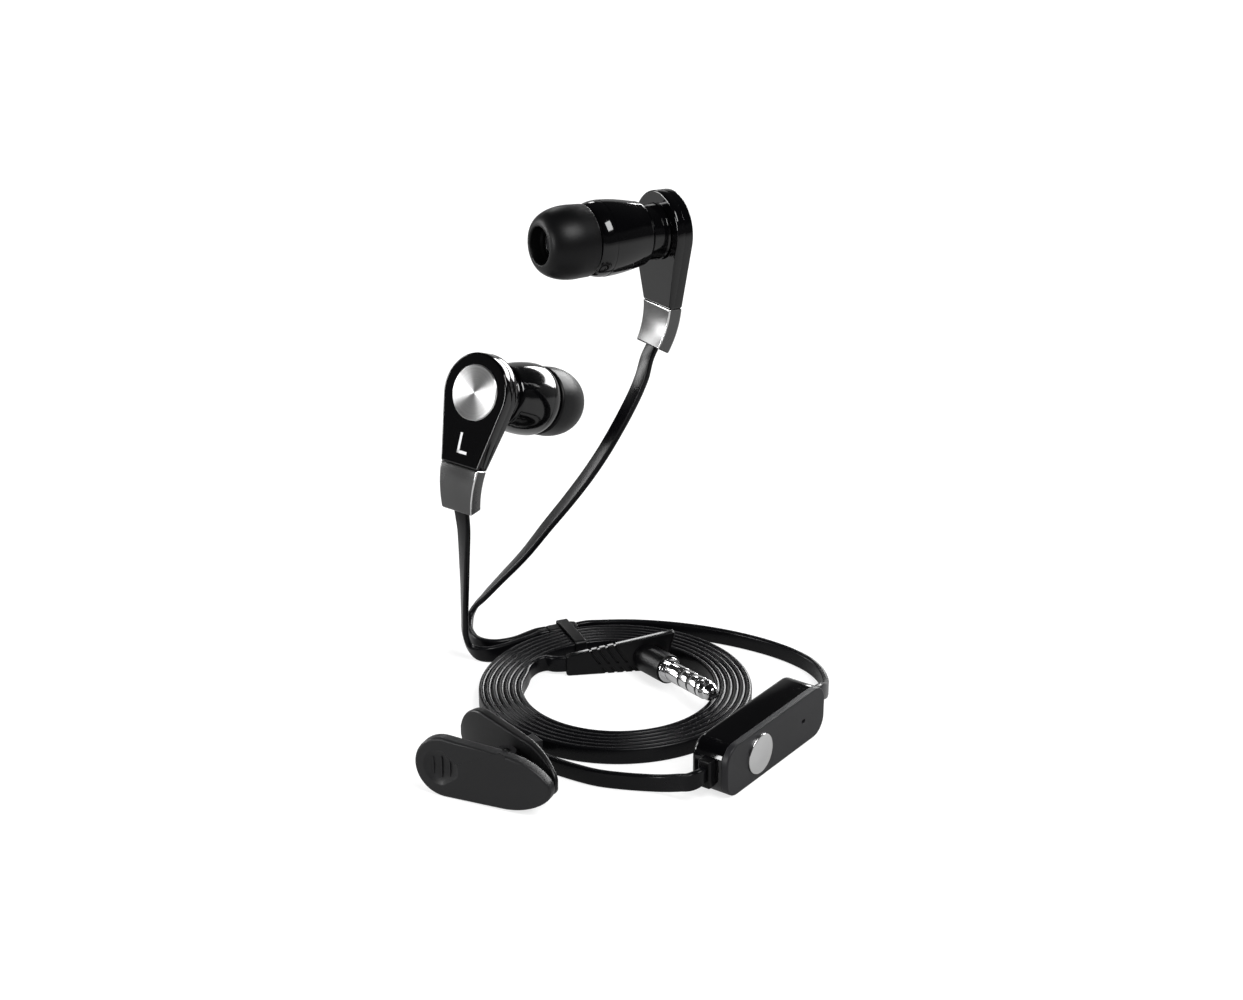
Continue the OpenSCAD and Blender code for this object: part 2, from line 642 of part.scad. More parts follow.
module remote_button() {
    translate([button_x, 0, remote_mid_z]) {
        along_y(-button_proud + 0.3)
            cylinder(d = button_d, h = button_proud - 0.3 + front_plate_t + seat_gap);
        along_y(-button_proud) cylinder(d1 = button_d - 1.6, d2 = button_d, h = 0.3);
        intersection() {
            along_y(front_plate_t + seat_gap) cylinder(d = button_flange_d, h = button_flange_t);
            cube([2 * button_d, 4 * remote_d, button_tab_h], center = true);
        }
        along_y(front_plate_t + seat_gap + button_flange_t - eps) cylinder(d = 2, h = 0.6 + eps);
    }
}

module remote_circuit_board() {
    translate([-remote_l / 2 + remote_wall + 0.6, board_y, remote_wall + 1])
        cube([remote_l - 2 * remote_wall - 1.2, board_t, remote_h - 2 * remote_wall - 2]);
}

module remote_switch() {
    translate([button_x, board_y - switch_h, remote_mid_z]) {
        along_y(0.3) translate([-1.8, -1.8, 0]) cube([3.6, 3.6, switch_h - 0.3]);
        along_y(0) cylinder(d = 1.6, h = 0.3 + eps);
    }
}

module remote_microphone() {
    translate([mic_x, front_plate_t + 0.1, remote_mid_z]) along_y()
        cylinder(d = 4, h = board_y - front_plate_t - 0.1);
}

module remote_gland(side) {
    translate([side * remote_l / 2, remote_d / 2, remote_mid_z]) rotate([0, 0, side > 0 ? 0 : 180]) {
        translate([0, -gland_w / 2, -gland_h / 2]) cube([gland_l, gland_w, gland_h]);
    }
}

// clip, drawn with its hinge on Z, X towards the jaw and its front paddle at negative y
module clip_place() {
    in_layout() translate(clip_pos) rotate([0, 0, clip_yaw]) children();
}

// Edge of a circle, in the direction of an angle
function rim(x, z, r, angle) = [x + r * cos(angle), z + r * sin(angle)];

// Side outline of a paddle, in X and Z. From the belly to the nose it is the edge of circles whose radius
// falls with the square of the distance, and a straight belt joins the belly to the large finger end.
jaw_steps = 6;
belt_slope = atan2(jaw_z - handle_r, jaw_x - handle_x);
belt_open = 90 - asin((handle_r - jaw_r) / norm([jaw_x - handle_x, jaw_z - handle_r]));
function jaw_edge(k, side) =
    let (x = jaw_l * k / jaw_steps)
        rim(jaw_x + x, jaw_z, jaw_r - jaw_fall * x * x, side * acos(2 * jaw_fall * x));
nose_open = acos(2 * jaw_fall * jaw_l);

module paddle_outline() {
    polygon([
        each [for (i = [0:30]) rim(handle_x, handle_r, handle_r, belt_slope + belt_open + (360 - 2 * belt_open) * i / 30)],
        rim(jaw_x, jaw_z, jaw_r, belt_slope - belt_open),
        each [for (k = [1:jaw_steps]) jaw_edge(k, -1)],
        each [for (i = [1:7]) rim(nose_x, jaw_z, nose_r, nose_open * (i / 4 - 1))],
        each [for (k = [jaw_steps:-1:1]) jaw_edge(k, 1)],
        rim(jaw_x, jaw_z, jaw_r, belt_slope + belt_open)]);
}

module lug(z, y_from, y_to, x_shift = 0) {
    translate([0, 0, z]) difference() {
        union() {
            cylinder(r = lug_r, h = lug_t);
            translate([-lug_r + x_shift, min(y_from, y_to), 0]) cube([2 * lug_r, abs(y_to - y_from), lug_t]);
        }
        translate([0, 0, -eps]) cylinder(r = pin_d / 2 + run_gap, h = lug_t + 2 * eps);
    }
}

module clip_front_paddle() {
    slab(front_face_y, paddle_t) paddle_outline();
    for (z = [pin_z + 0.1, pin_z + pin_l - lug_t - 0.1]) lug(z, front_inner_y - eps, 0);
    // gripping pad inside the jaw
    translate([nose_x - 2.25, front_inner_y - eps, jaw_z - 2]) cube([3, 0.5, 4]);
}

// Plan of the rear paddle: a straight handle, then an arm that thins as it comes down to the jaw
handle_dir = 180 - handle_angle;
arm_start = [0, 2.2];
arm_end = [jaw_reach - 0.4, front_inner_y + 0.5];
arm_bow = 0.3;
arm_taper = 0.55;
function arm_mid(s) = arm_start + (arm_end - arm_start) * s + [0.28, 0.72] * arm_bow * 4 * s * (1 - s);
handle_tip = arm_start + (paddle_l - jaw_reach) * [cos(handle_dir), sin(handle_dir)];
arm_steps = 10;

module rear_plan() {
    lower = concat([handle_tip], [for (i = [0:arm_steps]) arm_mid(i / arm_steps)]);
    upper = concat([for (i = [arm_steps:-1:0])
        arm_mid(i / arm_steps) + [0.15, paddle_t * (1 - arm_taper * i / arm_steps)]],
        [handle_tip + [0.4, 1] * paddle_t * 0.92]);
    polygon(concat(lower, upper));
}

module clip_rear_paddle() {
    intersection() {
        linear_extrude(paddle_h) rear_plan();
        rotate([0, 0, -handle_angle * 0.72]) slab(-30, 60) paddle_outline();
    }
    lug(pin_z + lug_t + 0.1 + open_gap, 0, arm_start[1] + 0.6);
    lug(pin_z + pin_l - 2 * lug_t - 0.1 - open_gap, 0, arm_start[1] + 0.6);
    cord_holder();
}

// A hook on an arm behind the paddle, snapped over the cord from above
hook_wall = 0.9;
hook_l = 3;
hook_clear = 0.25;
hook_at = turn_z(-clip_yaw, hook_place - clip_pos);
hook_turn = atan2(hook_tangent[1], hook_tangent[0]) - clip_yaw;
module cord_holder() {
    side = cord_t / 2 + hook_clear;
    translate([hook_at[0], hook_at[1], 0]) rotate([0, 0, hook_turn]) difference() {
        translate([-hook_l / 2, -side - hook_wall, 0.1])
            cube([hook_l, 2 * (side + hook_wall), cord_w + hook_clear + hook_wall]);
        translate([-hook_l, -side, -eps]) cube([2 * hook_l, 2 * side, cord_w + hook_clear + eps]);
    }
    translate([hook_at[0] - 0.9, 4, 0.8]) cube([1.8, hook_at[1] - 4 - side - 0.4, 2]);
}

module clip_hinge_pin() {
    translate([0, 0, pin_z]) cylinder(d = pin_d, h = pin_l);
}

// Torsion spring round the pin, with a leg against the inside of each paddle
spring_turns = 1.5;
spring_leg = 0.34 * (paddle_l - jaw_reach);
spring_r = pin_d / 2 + 0.25 + spring_wire_d / 2;
spring_pitch = spring_wire_d + 0.5;
spring_z = pin_z + pin_l / 2 - spring_turns * spring_pitch / 2;
spring_rings = 8;
spring_steps = spring_turns * spring_rings;
function spring_point(i) = let (a = 250 + i * 360 / spring_rings)
    [spring_r * cos(a), spring_r * sin(a), spring_z + spring_pitch * i / spring_rings];
spring_path = concat([for (k = [0.875, 0.44]) spring_point(0) + spring_leg * k * [-1, 0.05, 0]],
    [for (i = [0:spring_steps]) spring_point(i)],
    [for (k = [0.5, 1]) spring_point(spring_steps) + spring_leg * k * [-1, 0.35, 0]]);
echo(spring_least_gap_mm = spring_pitch * cos(180 / spring_rings) - spring_wire_d);

module clip_spring() {
    skin([for (i = [0:len(spring_path) - 1]) let (t = tangent(spring_path, i), u = across([0, 0, 1], t),
        v = cross(t, u)) [for (k = [0:5]) spring_path[i]
            + (u * cos(60 * k) + v * sin(60 * k)) * spring_wire_d / 2]]);
}

// plug, with the jack along Z from its shoulder
module jack_place() {
    in_layout() translate(jack_pos) rotate([0, 90 - jack_tilt, jack_yaw]) children();
}

// One end of the plug's moulding: a column with a chamfer behind the flat along its top
module plug_column(w, z0, h) {
    translate([0, 0, z0]) linear_extrude(h - top_chamfer - z0)
        rounded_rect(1.6, w, plug_corner_r, $fn = 24);
    translate([-0.8, -w / 2, z0]) cube([1.6, top_strip_w, h - z0]);
}

module plug_tail_place() {
    in_layout() translate([plug_tail[0], plug_tail[1], 0.05]) rotate([0, 0, plug_yaw]) children();
}

// Grooves that let the moulding flex: they slant as they go down, and leave a core and a spine
module plug_grooves() {
    rise = (elbow_h - plug_tail_h) / (norm([elbow[0] - plug_tail[0], elbow[1] - plug_tail[1]])
        + elbow_reach + overhang - 1.6);
    side_y = tail_w / 2 - groove_depth;
    difference() {
        for (i = [0:3]) translate([groove_from + groove_step * i, 0,
            plug_tail_h + rise * (groove_from + groove_step * i - 1.6)]) rotate([0, -groove_slant, 0]) {
            for (y = [-side_y - 2, side_y])
                translate([-groove_w / 2, y, -2 * elbow_h]) cube([groove_w, 2, 2 * elbow_h + 1]);
            translate([-groove_w / 2, -tail_w, -groove_depth]) cube([groove_w, 2 * tail_w, 1]);
        }
        translate([0, -tail_w, spine_z]) cube([4 * elbow_h, 2 * tail_w, spine_h]);
    }
}

// Wedge-shaped moulding whose elbow leans over the coil, with a round stub for the jack
module plug_body() {
    difference() {
        in_layout() hull() {
            translate([elbow[0], elbow[1], 0.05]) rotate([0, 0, plug_yaw]) {
                translate([elbow_reach - 0.8, 0, 0]) linear_extrude(elbow_foot_h)
                    rounded_rect(1.6, elbow_w, plug_corner_r, $fn = 24);
                translate([elbow_reach + overhang - 0.8, 0, 0])
                    plug_column(elbow_w, elbow_foot_h + 0.8, elbow_h);
            }
            translate([plug_tail[0], plug_tail[1], 0.05]) rotate([0, 0, plug_yaw])
                translate([0.8, 0, 0]) plug_column(tail_w, 0, plug_tail_h);
        }
        plug_tail_place() plug_grooves();
        jack_place() cylinder(d = shoulder_d + 2 * seat_gap, h = elbow_back);
    }
    difference() {
        intersection() {
            jack_place() translate([0, 0, -elbow_back + 1])
                cylinder(d = shoulder_d + 2 * stub_wall, h = elbow_back - 1 + shoulder_t / 2);
            in_layout() translate([jack_pos[0] - plate_d, jack_pos[1] - plate_d, 0.05])
                cube([2 * plate_d, 2 * plate_d, plate_d]);
        }
        jack_place() cylinder(d = shoulder_d + 2 * seat_gap, h = elbow_back);
    }
}

module jack_shoulder() {
    jack_place() tube(shoulder_d / 2, 0.7, shoulder_t);
}

module jack_pole(z0, z1) {
    jack_place() translate([0, 0, z0]) tube(jack_r, 0.7, z1 - z0);
}

module jack_tip() {
    jack_place() translate([0, 0, pole_z]) rotate_extrude() polygon([
        [0, 0], [jack_r, 0], [jack_r, 0.7], [jack_r - 0.55, 1.3], [jack_r - 0.55, 1.5],
        [jack_r - 0.1, 2], [jack_r - 0.75, 3.1], [0.5, cone_l], [0, cone_l]]);
}

ring_1_z = pole_z - insulator_t - pole_l;
ring_2_z = ring_1_z - insulator_t - pole_l;

module jack_insulators() {
    for (z = [pole_z, ring_1_z, ring_2_z]) jack_pole(z - insulator_t, z);
}

module jack_core() {
    jack_place() cylinder(r = 0.7 - seat_gap / 2, h = pole_z - seat_gap);
}

// splitter on the coil's rim, and the strap round the turns and the splitter
module splitter() {
    in_layout() translate(splitter_pos) rotate([0, 0, splitter_yaw])
        translate([-splitter_l / 2, -splitter_w / 2, 0]) cube([splitter_l, splitter_w, splitter_h]);
}

function turns_at(angle, whole) = (coil_start - angle) / 360 + whole;
tie_out = norm([splitter_pos[0], splitter_pos[1]]) + splitter_w / 2 + 0.15;
tie_turns = floor(coil_turns - turns_at(tie_angle, 0));
tie_in = coil_r - coil_pitch * turns_at(tie_angle, tie_turns) - coil_cord_t / 2 - 0.25;
module coil_tie() {
    in_layout() rotate([0, 0, tie_angle]) difference() {
        translate([tie_in - tie_t, -tie_w / 2, 0])
            cube([tie_out - tie_in + 2 * tie_t, tie_w, cord_w + 0.15 + tie_t]);
        translate([tie_in, -tie_w / 2 - eps, -eps])
            cube([tie_out - tie_in, tie_w + 2 * eps, cord_w + 0.15 + eps]);
    }
}

black = "#161616";
satin = "#2b2b2b";
steel = "#c8c9cb";

// Each earpiece's nodes are drawn by one module, told which side it is on
module earpiece(name, is_left) {
    earpiece_place(is_left) {
        if (name == "outer_shell") color(black) outer_shell(is_left);
        if (name == "inner_shell") color(black) inner_shell();
        if (name == "disc") color(steel) disc();
        if (name == "side_mark") color("white") side_mark(is_left);
        if (name == "neck") color(black) neck();
        if (name == "rear_barrel") color(black) rear_barrel();
        if (name == "front_barrel") color(black) front_barrel();
        if (name == "driver_frame") color("#5a5a5c") driver_frame();
        if (name == "magnet") color("#8a8a8c") magnet();
        if (name == "diaphragm") color("#c9b98a") diaphragm();
        if (name == "mesh") color("#9a9a9c") mesh_screen();
        if (name == "ear_tip") color("#101010") ear_tip();
        if (name == "collar") color(steel) collar();
        if (name == "cord_anchor") color(black) cord_anchor();
    }
}

parts_of_earpiece = ["outer_shell", "inner_shell", "disc", "side_mark", "neck", "rear_barrel",
    "front_barrel", "driver_frame", "magnet", "diaphragm", "mesh", "ear_tip", "collar", "cord_anchor"];
for (name = parts_of_earpiece) {
    earpiece(name, true);
    earpiece(name, false);
}
color(satin) remote_place() remote_front_plate();
color(black) remote_place() remote_rear_shell();
color(steel) remote_place() remote_button();
color("#1f6b3a") remote_place() remote_circuit_board();
color("#777777") remote_place() remote_switch();
color("#b8b0a0") remote_place() remote_microphone();
color(black) remote_place() remote_gland(-1);  // remote_left_gland
color(black) remote_place() remote_gland(1);  // remote_right_gland
color(satin) clip_place() clip_front_paddle();
color(satin) clip_place() clip_rear_paddle();
color(steel) clip_place() clip_hinge_pin();
color(steel) clip_place() clip_spring();
color(black) in_layout() flat_cord(left_route, left_widths);  // left_cord
color(black) in_layout() flat_cord(right_route, right_widths);  // right_cord
color(black) splitter();
color(black) in_layout()  // back_cord
    flat_cord(back_route, upright(back_route));
color(black) in_layout()  // front_cord
    flat_cord(front_route, upright(front_route));
color(black) in_layout()  // cord_coil
    skin([for (i = [0:len(coil_path) - 1]) let (t = tangent(coil_path, i))
        wound_ring(coil_path[i], [0, 0, 1], cross(t, [0, 0, 1]), cord_w, coil_cord_t)]);
color(black) coil_tie();
color(black) in_layout()  // plug_lead
    flat_cord(lead_route, upright(lead_route));
color(black) plug_body();
color(steel) jack_shoulder();
color(steel) jack_pole(shoulder_t, ring_2_z - insulator_t);  // jack_sleeve
color(steel) jack_pole(ring_2_z, ring_1_z - insulator_t);  // jack_ring_2
color(steel) jack_pole(ring_1_z, pole_z - insulator_t);  // jack_ring_1
color(steel) jack_tip();
color("#303030") jack_insulators();
color("#b08d57") jack_core();
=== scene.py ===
"""Looks for wired in-ear earphones with a coiled flat cord, remote, shirt clip and angled plug.

Shapes are worked out in millimetres with numpy, in each assembly's own axes, and placed in metres
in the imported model's frame. Camera and cords come first, then earpieces, remote, clip and room.
"""

import bmesh
import bpy
import numpy as np
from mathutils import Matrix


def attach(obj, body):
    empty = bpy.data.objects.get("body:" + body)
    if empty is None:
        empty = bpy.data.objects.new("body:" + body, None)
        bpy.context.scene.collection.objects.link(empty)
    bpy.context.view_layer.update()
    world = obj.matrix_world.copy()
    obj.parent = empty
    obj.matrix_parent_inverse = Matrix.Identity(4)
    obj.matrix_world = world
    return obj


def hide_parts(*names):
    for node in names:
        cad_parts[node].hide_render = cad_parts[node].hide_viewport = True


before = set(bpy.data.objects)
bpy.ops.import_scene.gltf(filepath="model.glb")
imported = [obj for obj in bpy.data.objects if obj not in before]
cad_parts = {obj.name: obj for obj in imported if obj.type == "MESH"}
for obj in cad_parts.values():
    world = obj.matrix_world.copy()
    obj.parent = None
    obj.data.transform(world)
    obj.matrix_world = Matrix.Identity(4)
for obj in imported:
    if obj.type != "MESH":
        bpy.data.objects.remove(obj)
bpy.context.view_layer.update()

MM = 0.001
TAU = 2 * np.pi
UP = np.array([0, 0, 1.0])

# ---------------------------------------------------------------- sizes, in millimetres

ORIGIN = np.array([1.3, -3.6, 0.0])  # the frame's origin, seen from the coil's centre
RIM = 0.08  # how far inside a rounded edge a ring keeps the flat beside it flat
ON_AXIS = 0.01  # radius of a turned piece's end rings, where it is closed at its axis

# An earpiece has Y from the plate's face towards the ear, and Z up along the plate.
PLATE_R = 7.0
PLATE_T = 3.2
PLATE_EDGE = 0.35
STEM_L = 12.9
STEM_HALF = 4.25
SHELL_SEAM = 1.7
SEAM_GAP = 0.004
SEAM_EDGE = 0.01
DISC_R = 4.9
SEAT = 0.6  # depth of the disc's seat
MARK_W = 0.5
COLLAR_T = 2.6
COLLAR_BEND = 16.0
COLLAR_ANGLE = np.radians(28)
COLLAR_LOW_HALF = 3.45
NECK_R = 4.75
BORE_R = 3.6
BARREL_Y = 6.5
BARREL_JOIN = 14.6
BARREL_FRONT = 17.4
BARREL_R = 6.5
BARREL_BACK_R = 5.5
BARREL_INNER_R = 5.6
JOIN_GAP = 0.02
NOZZLE_R = 2.7
NOZZLE_LIP_R = 2.95
NOZZLE_END = 23.5
TIP_Y = 17.5
TIP_L = 8.7
TIP_R = 6.25
TIP_MOUTH_R = 3.2
TIP_SKIN = 0.6

CORD_W = 3.0
CORD_T = 1.1
CORD_CORNER = 0.38
WOUND_T = 1.04
COIL_R = 23.8
COIL_PITCH = 1.12
COIL_START = 208.0
COIL_STEPS = 147
COIL_RINGS = 24
SPLITTER_L = 6
SPLITTER_HALF = 1.3
TIE_ANGLE = 112.5
TIE_TOP = 3.35
TIE_W = 2.0
TIE_T = 0.38

# The plug has X along its moulding and Z up. The jack has Y along itself.
PLUG_TAIL = np.array([-9.2, 9.9, 0.05])
PLUG_CORD_Z = 1.9
PLUG_HALF = 1.3
PLUG_LOW = 3.85
PLUG_RISE = 3.6
OVERHANG = 1.4
GROOVES = [4.3 + 1.47 * i for i in range(4)]
JACK_POS = np.array([9.0, 5.0, 3.4])
JACK_YAW = np.radians(-57.8)
JACK_TILT = np.radians(5.8)
JACK_R = 1.75
JACK_L = 14
CORE_R = 0.7
SHOULDER_R = 2.3
SHOULDER_T = 0.8
CONTACT_L = 3.4  # length of the tip contact
POLE_STEP = 2.7
INSULATOR_T = 0.5
ELBOW_BACK = 8.3

# The remote has X along it, Y from its face backwards and Z up.
REMOTE_L = 30.0
REMOTE_H = 9.3
REMOTE_D = 7.1
REMOTE_CORNER = 3.2
REMOTE_MID = 4.65
REMOTE_EDGE = 0.3
FRONT_T = 1.2
FRONT_SPLIT = 2.6  # X of the line between the button's half of the face and the microphone's
BUTTON_X = -5.3
BUTTON_R = 3.5
BUTTON_GAP = 0.06
MIC_X = 8.2
MIC_R = 0.5
GLAND_L = 1.5
GLAND_HALF = (1.2, 2.5)  # half its depth and half its height

# The clip has X along it, Y from its front paddle backwards and Z up, from its pin.
HANDLE = np.array([-8.75, 5.35])  # centre of the paddle's finger end, along and up
HANDLE_R = 5.35
BELLY = np.array([1.3, 5.1])
BELLY_R = 4.9
BELLY_FALL = 0.0566  # how fast the radius falls past the belly, with the square of the distance
NOSE = np.array([7.85, 5.1])
NOSE_R = 2.47
PADDLE_FRONT = -5
PADDLE_BACK = -3
DIMPLE = np.array([-9.3, 5.3])
LUG_R = 1.75
LUG_T = 0.9
LUGS_FRONT = (1.0, 7.2)  # Z of each lever's two lugs, the rear one's inside the front one's
LUGS_REAR = (2.2, 6.0)
PIN_BORE_R = 0.8
LEVER_TURN = np.radians(17.3)  # from the rear lever's jaw to the paddle it lies behind
PIN_Z = 0.9
PIN_L = 7.3
SPRING_R = 1.2
SPRING_PITCH = 0.9
SPRING_TURNS = 1.5
SPRING_WIRE = 0.4


# ---------------------------------------------------------------- placing


def turned(turn):
    """Rotation matrix that turns about X, then Y, then Z, by angles in degrees."""
    x, y, z = np.radians(turn)
    rx = np.array([[1, 0, 0], [0, np.cos(x), -np.sin(x)], [0, np.sin(x), np.cos(x)]])
    ry = np.array([[np.cos(y), 0, np.sin(y)], [0, 1, 0], [-np.sin(y), 0, np.cos(y)]])
    rz = np.array([[np.cos(z), -np.sin(z), 0], [np.sin(z), np.cos(z), 0], [0, 0, 1]])
    return rz @ ry @ rx


def placed(points, place):
    """Points in an assembly's own axes, in millimetres, as points in the frame, in metres."""
    rotation, position = place
    return (np.asarray(points, float) @ rotation.T + position - ORIGIN) * MM


def put(name, data):
    """A new object of the scene that shows this data."""
    made = bpy.data.objects.new(name, data)
    bpy.context.collection.objects.link(made)
    return made


LEFT = (turned((-20.6, 0, -38)), np.array([-24.5, 12.5, 52.8]))
RIGHT = (turned((2.6, 1.6, 122.1)), np.array([9.3, 21.9, 79.1]))
REMOTE = (turned((0, 0, 54)), np.array([26.6, -23.4, 0]))
CLIP = (turned((0, 0, -24)), np.array([-17.9, -32.9, 0]))
LAYOUT = (np.eye(3), np.zeros(3))
JACK_DIR = np.array([
    np.cos(JACK_TILT) * np.cos(JACK_YAW), np.cos(JACK_TILT) * np.sin(JACK_YAW), np.sin(JACK_TILT)])
JACK_SIDE = np.array([-np.sin(JACK_YAW), np.cos(JACK_YAW), 0])
JACK = (np.column_stack([JACK_SIDE, JACK_DIR, np.cross(JACK_SIDE, JACK_DIR)]), JACK_POS)
ELBOW = JACK_POS - JACK_DIR * ELBOW_BACK
PLUG_YAW = np.arctan2(ELBOW[1] - PLUG_TAIL[1], ELBOW[0] - PLUG_TAIL[0])
PLUG = (turned((0, 0, np.degrees(PLUG_YAW))), PLUG_TAIL)
PLUG_L = float(np.hypot(*(ELBOW - PLUG_TAIL)[:2])) + 4.2


# ---------------------------------------------------------------- materials


def linear(hexa):
    """sRGB hex text as linear red, green, blue and alpha."""
    c = np.array([int(hexa[i : i + 2], 16) / 255 for i in (1, 3, 5)])
    c = np.where(c <= 0.04045, c / 12.92, ((c + 0.055) / 1.055) ** 2.4)
    return (*c.tolist(), 1.0)


def cleared(owner):
    """The empty node tree of a material or world."""
    owner.use_nodes = True
    owner.node_tree.nodes.clear()
    return owner.node_tree


def add(tree, kind, settings=(), links=()):
    """Adds a shader node of this kind, with its attributes or socket values set, fed by links of
    socket to output, and gives its outputs."""
    made = tree.nodes.new("ShaderNode" + kind)
    for key, value in dict(settings).items():
        if isinstance(key, int) or key in made.inputs:
            made.inputs[key].default_value = value
        else:
            setattr(made, key, value)
    for key, output in dict(links).items():
        tree.links.new(output, made.inputs[key])
    return made.outputs


def between(tree, low, high, factor):
    """The colour between two linear ones, by a factor from a noise."""
    return add(tree, "Mix", {"data_type": "RGBA", 6: low, 7: high}, {0: factor})[2]


def bumped(tree, height, depth_mm):
    """The surface's direction, bent by a height whose whole range is a depth in millimetres."""
    return add(tree, "Bump", {"Strength": 1.0, "Distance": depth_mm * MM}, {"Height": height})[0]


def shaded(tree, settings, links):
    """Ends a material's tree in a plain shader with these settings and links."""
    surface = add(tree, "BsdfPrincipled", settings, links)
    add(tree, "OutputMaterial", (), {"Surface": surface[0]})


def finish_of(name, base, rough, grain_mm, grain_depth_mm, tone=0.06, rough_spread=0.05,
        uv_stretch=None, **shader):
    """A finish with a fine noise in height, and a noise of 6 mm in roughness and tone. grain_mm is
    the fine noise's size. uv_stretch, in cycles per millimetre along and across, reads the piece's
    own map instead."""
    made = bpy.data.materials.new(name)
    tree = cleared(made)
    where = add(tree, "TexCoord")
    if uv_stretch:
        mapped = add(tree, "Mapping", {"Scale": (*uv_stretch, 1)}, {"Vector": where["UV"]})
        grain = add(tree, "TexNoise", {"Scale": 1.0, "Detail": 3.0}, {"Vector": mapped[0]})
    else:
        grain = add(tree, "TexNoise", {"Scale": 1 / (grain_mm * MM), "Detail": 2.0},
            {"Vector": where["Object"]})
    cloud = add(tree, "TexNoise", {"Scale": 1 / (6 * MM), "Detail": 2.0},
        {"Vector": where["Object"]})[0]
    colour = linear(base)[:3]
    dark = (*(c * (1 - tone) for c in colour), 1.0)
    light = (*(min(1.0, c * (1 + tone)) for c in colour), 1.0)
    spread = add(tree, "MapRange",
        {"To Min": max(0.02, rough - rough_spread), "To Max": rough + rough_spread},
        {"Value": cloud})
    shaded(tree, shader, {
        "Base Color": between(tree, dark, light, cloud), "Roughness": spread[0],
        "Normal": bumped(tree, grain[0], grain_depth_mm)})
    return made


DEEP = {"IOR": 1.5, "Specular IOR Level": 0.26}  # carbon-filled blacks reflect little of the room
DULL = {"IOR": 1.5, "Specular IOR Level": 0.2}  # rubbers less still
CLEAR = {"IOR": 1.5, "Specular IOR Level": 0.5}  # polished ones keep a plain plastic's reflection
METAL = {"Metallic": 1.0}

# Injection-moulded ABS from a polished mould: near-black, mirror-like, with a faint waviness.
polished_abs = finish_of("polished_black_abs", "#050506", 0.08, 2.5, 0.003,
    rough_spread=0.02, **CLEAR)
# The same ABS, moulded as the barrel's halves, a touch softer in its reflections.
barrel_abs = finish_of("barrel_black_abs", "#050506", 0.09, 2.0, 0.003,
    rough_spread=0.02, **CLEAR)
# Moulded silicone rubber: a soft satin black that picks up a broad grey sheen.
silicone = finish_of("satin_silicone", "#080809", 0.4, 0.5, 0.004, tone=0.1, **DULL)
# TPE cord jacket, extruded: semi-gloss black with faint draw lines along its length.
jacket = finish_of("extruded_tpe_jacket", "#08080a", 0.27, 0.5, 0.006, tone=0.1,
    uv_stretch=(0.35, 6.0), **DULL)
# TPE mouldings on the cord: the plug, splitter, tie and glands, satin from a fine-spark mould.
moulded_tpe = finish_of("moulded_satin_tpe", "#080809", 0.32, 0.25, 0.005, tone=0.1, **DULL)
# The flat along the plug's top, polished in the mould.
polished_tpe = finish_of("polished_flat_tpe", "#0a0a0b", 0.14, 1.5, 0.002,
    rough_spread=0.02, **CLEAR)
# Soft-touch painted front of the remote: an even dark grey with a fine grain.
remote_paint = finish_of("soft_touch_paint", "#1f1f21", 0.42, 0.16, 0.004, tone=0.05, **DEEP)
# Satin ABS of the clip's front, from a spark-eroded mould, which leaves a fine grain.
clip_abs = finish_of("spark_grain_abs", "#1e1e1f", 0.38, 0.22, 0.006, **DEEP)
# Smooth ABS of the clip's rear lever, straight from a plain mould. Its colour, darker than the
# front lever's, is painted shade: it stands in for the shade the rear lever lies in.
shaded_lever_abs = finish_of("shade_darkened_black_abs", "#0c0c0d", 0.36, 0.6, 0.004, **DEEP)
# Brushed and anodised aluminium collar: fine lines across the strip.
collar_alu = finish_of("brushed_anodised_aluminium", "#5e5e5e", 0.26, 0.3, 0.003, tone=0.08,
    uv_stretch=(0.4, 9.0), **METAL)
# The same aluminium where the collar's edges were cut with a diamond after anodising: bright.
cut_alu = finish_of("diamond_cut_aluminium", "#e2e2e2", 0.16, 0.3, 0.001, tone=0.03, **METAL)
# Vacuum-metallised button cap: bright, softly blurred.
button_metal = finish_of("metallised_button", "#d6d6d6", 0.22, 1.0, 0.001, tone=0.03, **METAL)
# Bright nickel over turned brass, as on every jack.
nickel = finish_of("bright_nickel_plate", "#e6e6e7", 0.12, 0.6, 0.0008, tone=0.03,
    rough_spread=0.03, **METAL)
# Moulded nylon rings between the jack's poles, dull black.
nylon = finish_of("black_nylon", "#111112", 0.4, 0.3, 0.002, **DEEP)
# Screen-printed white ink.
ink = finish_of("white_ink", "#dededf", 0.4, 0.2, 0.002, tone=0.03)
# Drawn spring steel and the pin ground from it, both given a near-black metal colour, which keeps
# the hinge dark.
spring_steel = finish_of("near_black_spring_steel", "#232324", 0.35, 0.3, 0.002, **METAL)
# Pieces inside the housings: stamped, turned and printed as usual.
stamped_steel = finish_of("stamped_steel", "#8d8d8f", 0.35, 0.4, 0.003, **METAL)
turned_brass = finish_of("turned_brass", "#b08d57", 0.3, 0.4, 0.002, **METAL)
solder_mask = finish_of("green_solder_mask", "#1f5f36", 0.35, 0.5, 0.003)
film = finish_of("polyester_film", "#c9b98a", 0.3, 0.5, 0.002)
# The steel gauze in the nozzle, 0.2 mm pitch drawn at 0.35 mm so that it shows.
gauze = finish_of("steel_gauze", "#77787a", 0.4, 0.35, 0.06, tone=0.5, **METAL)


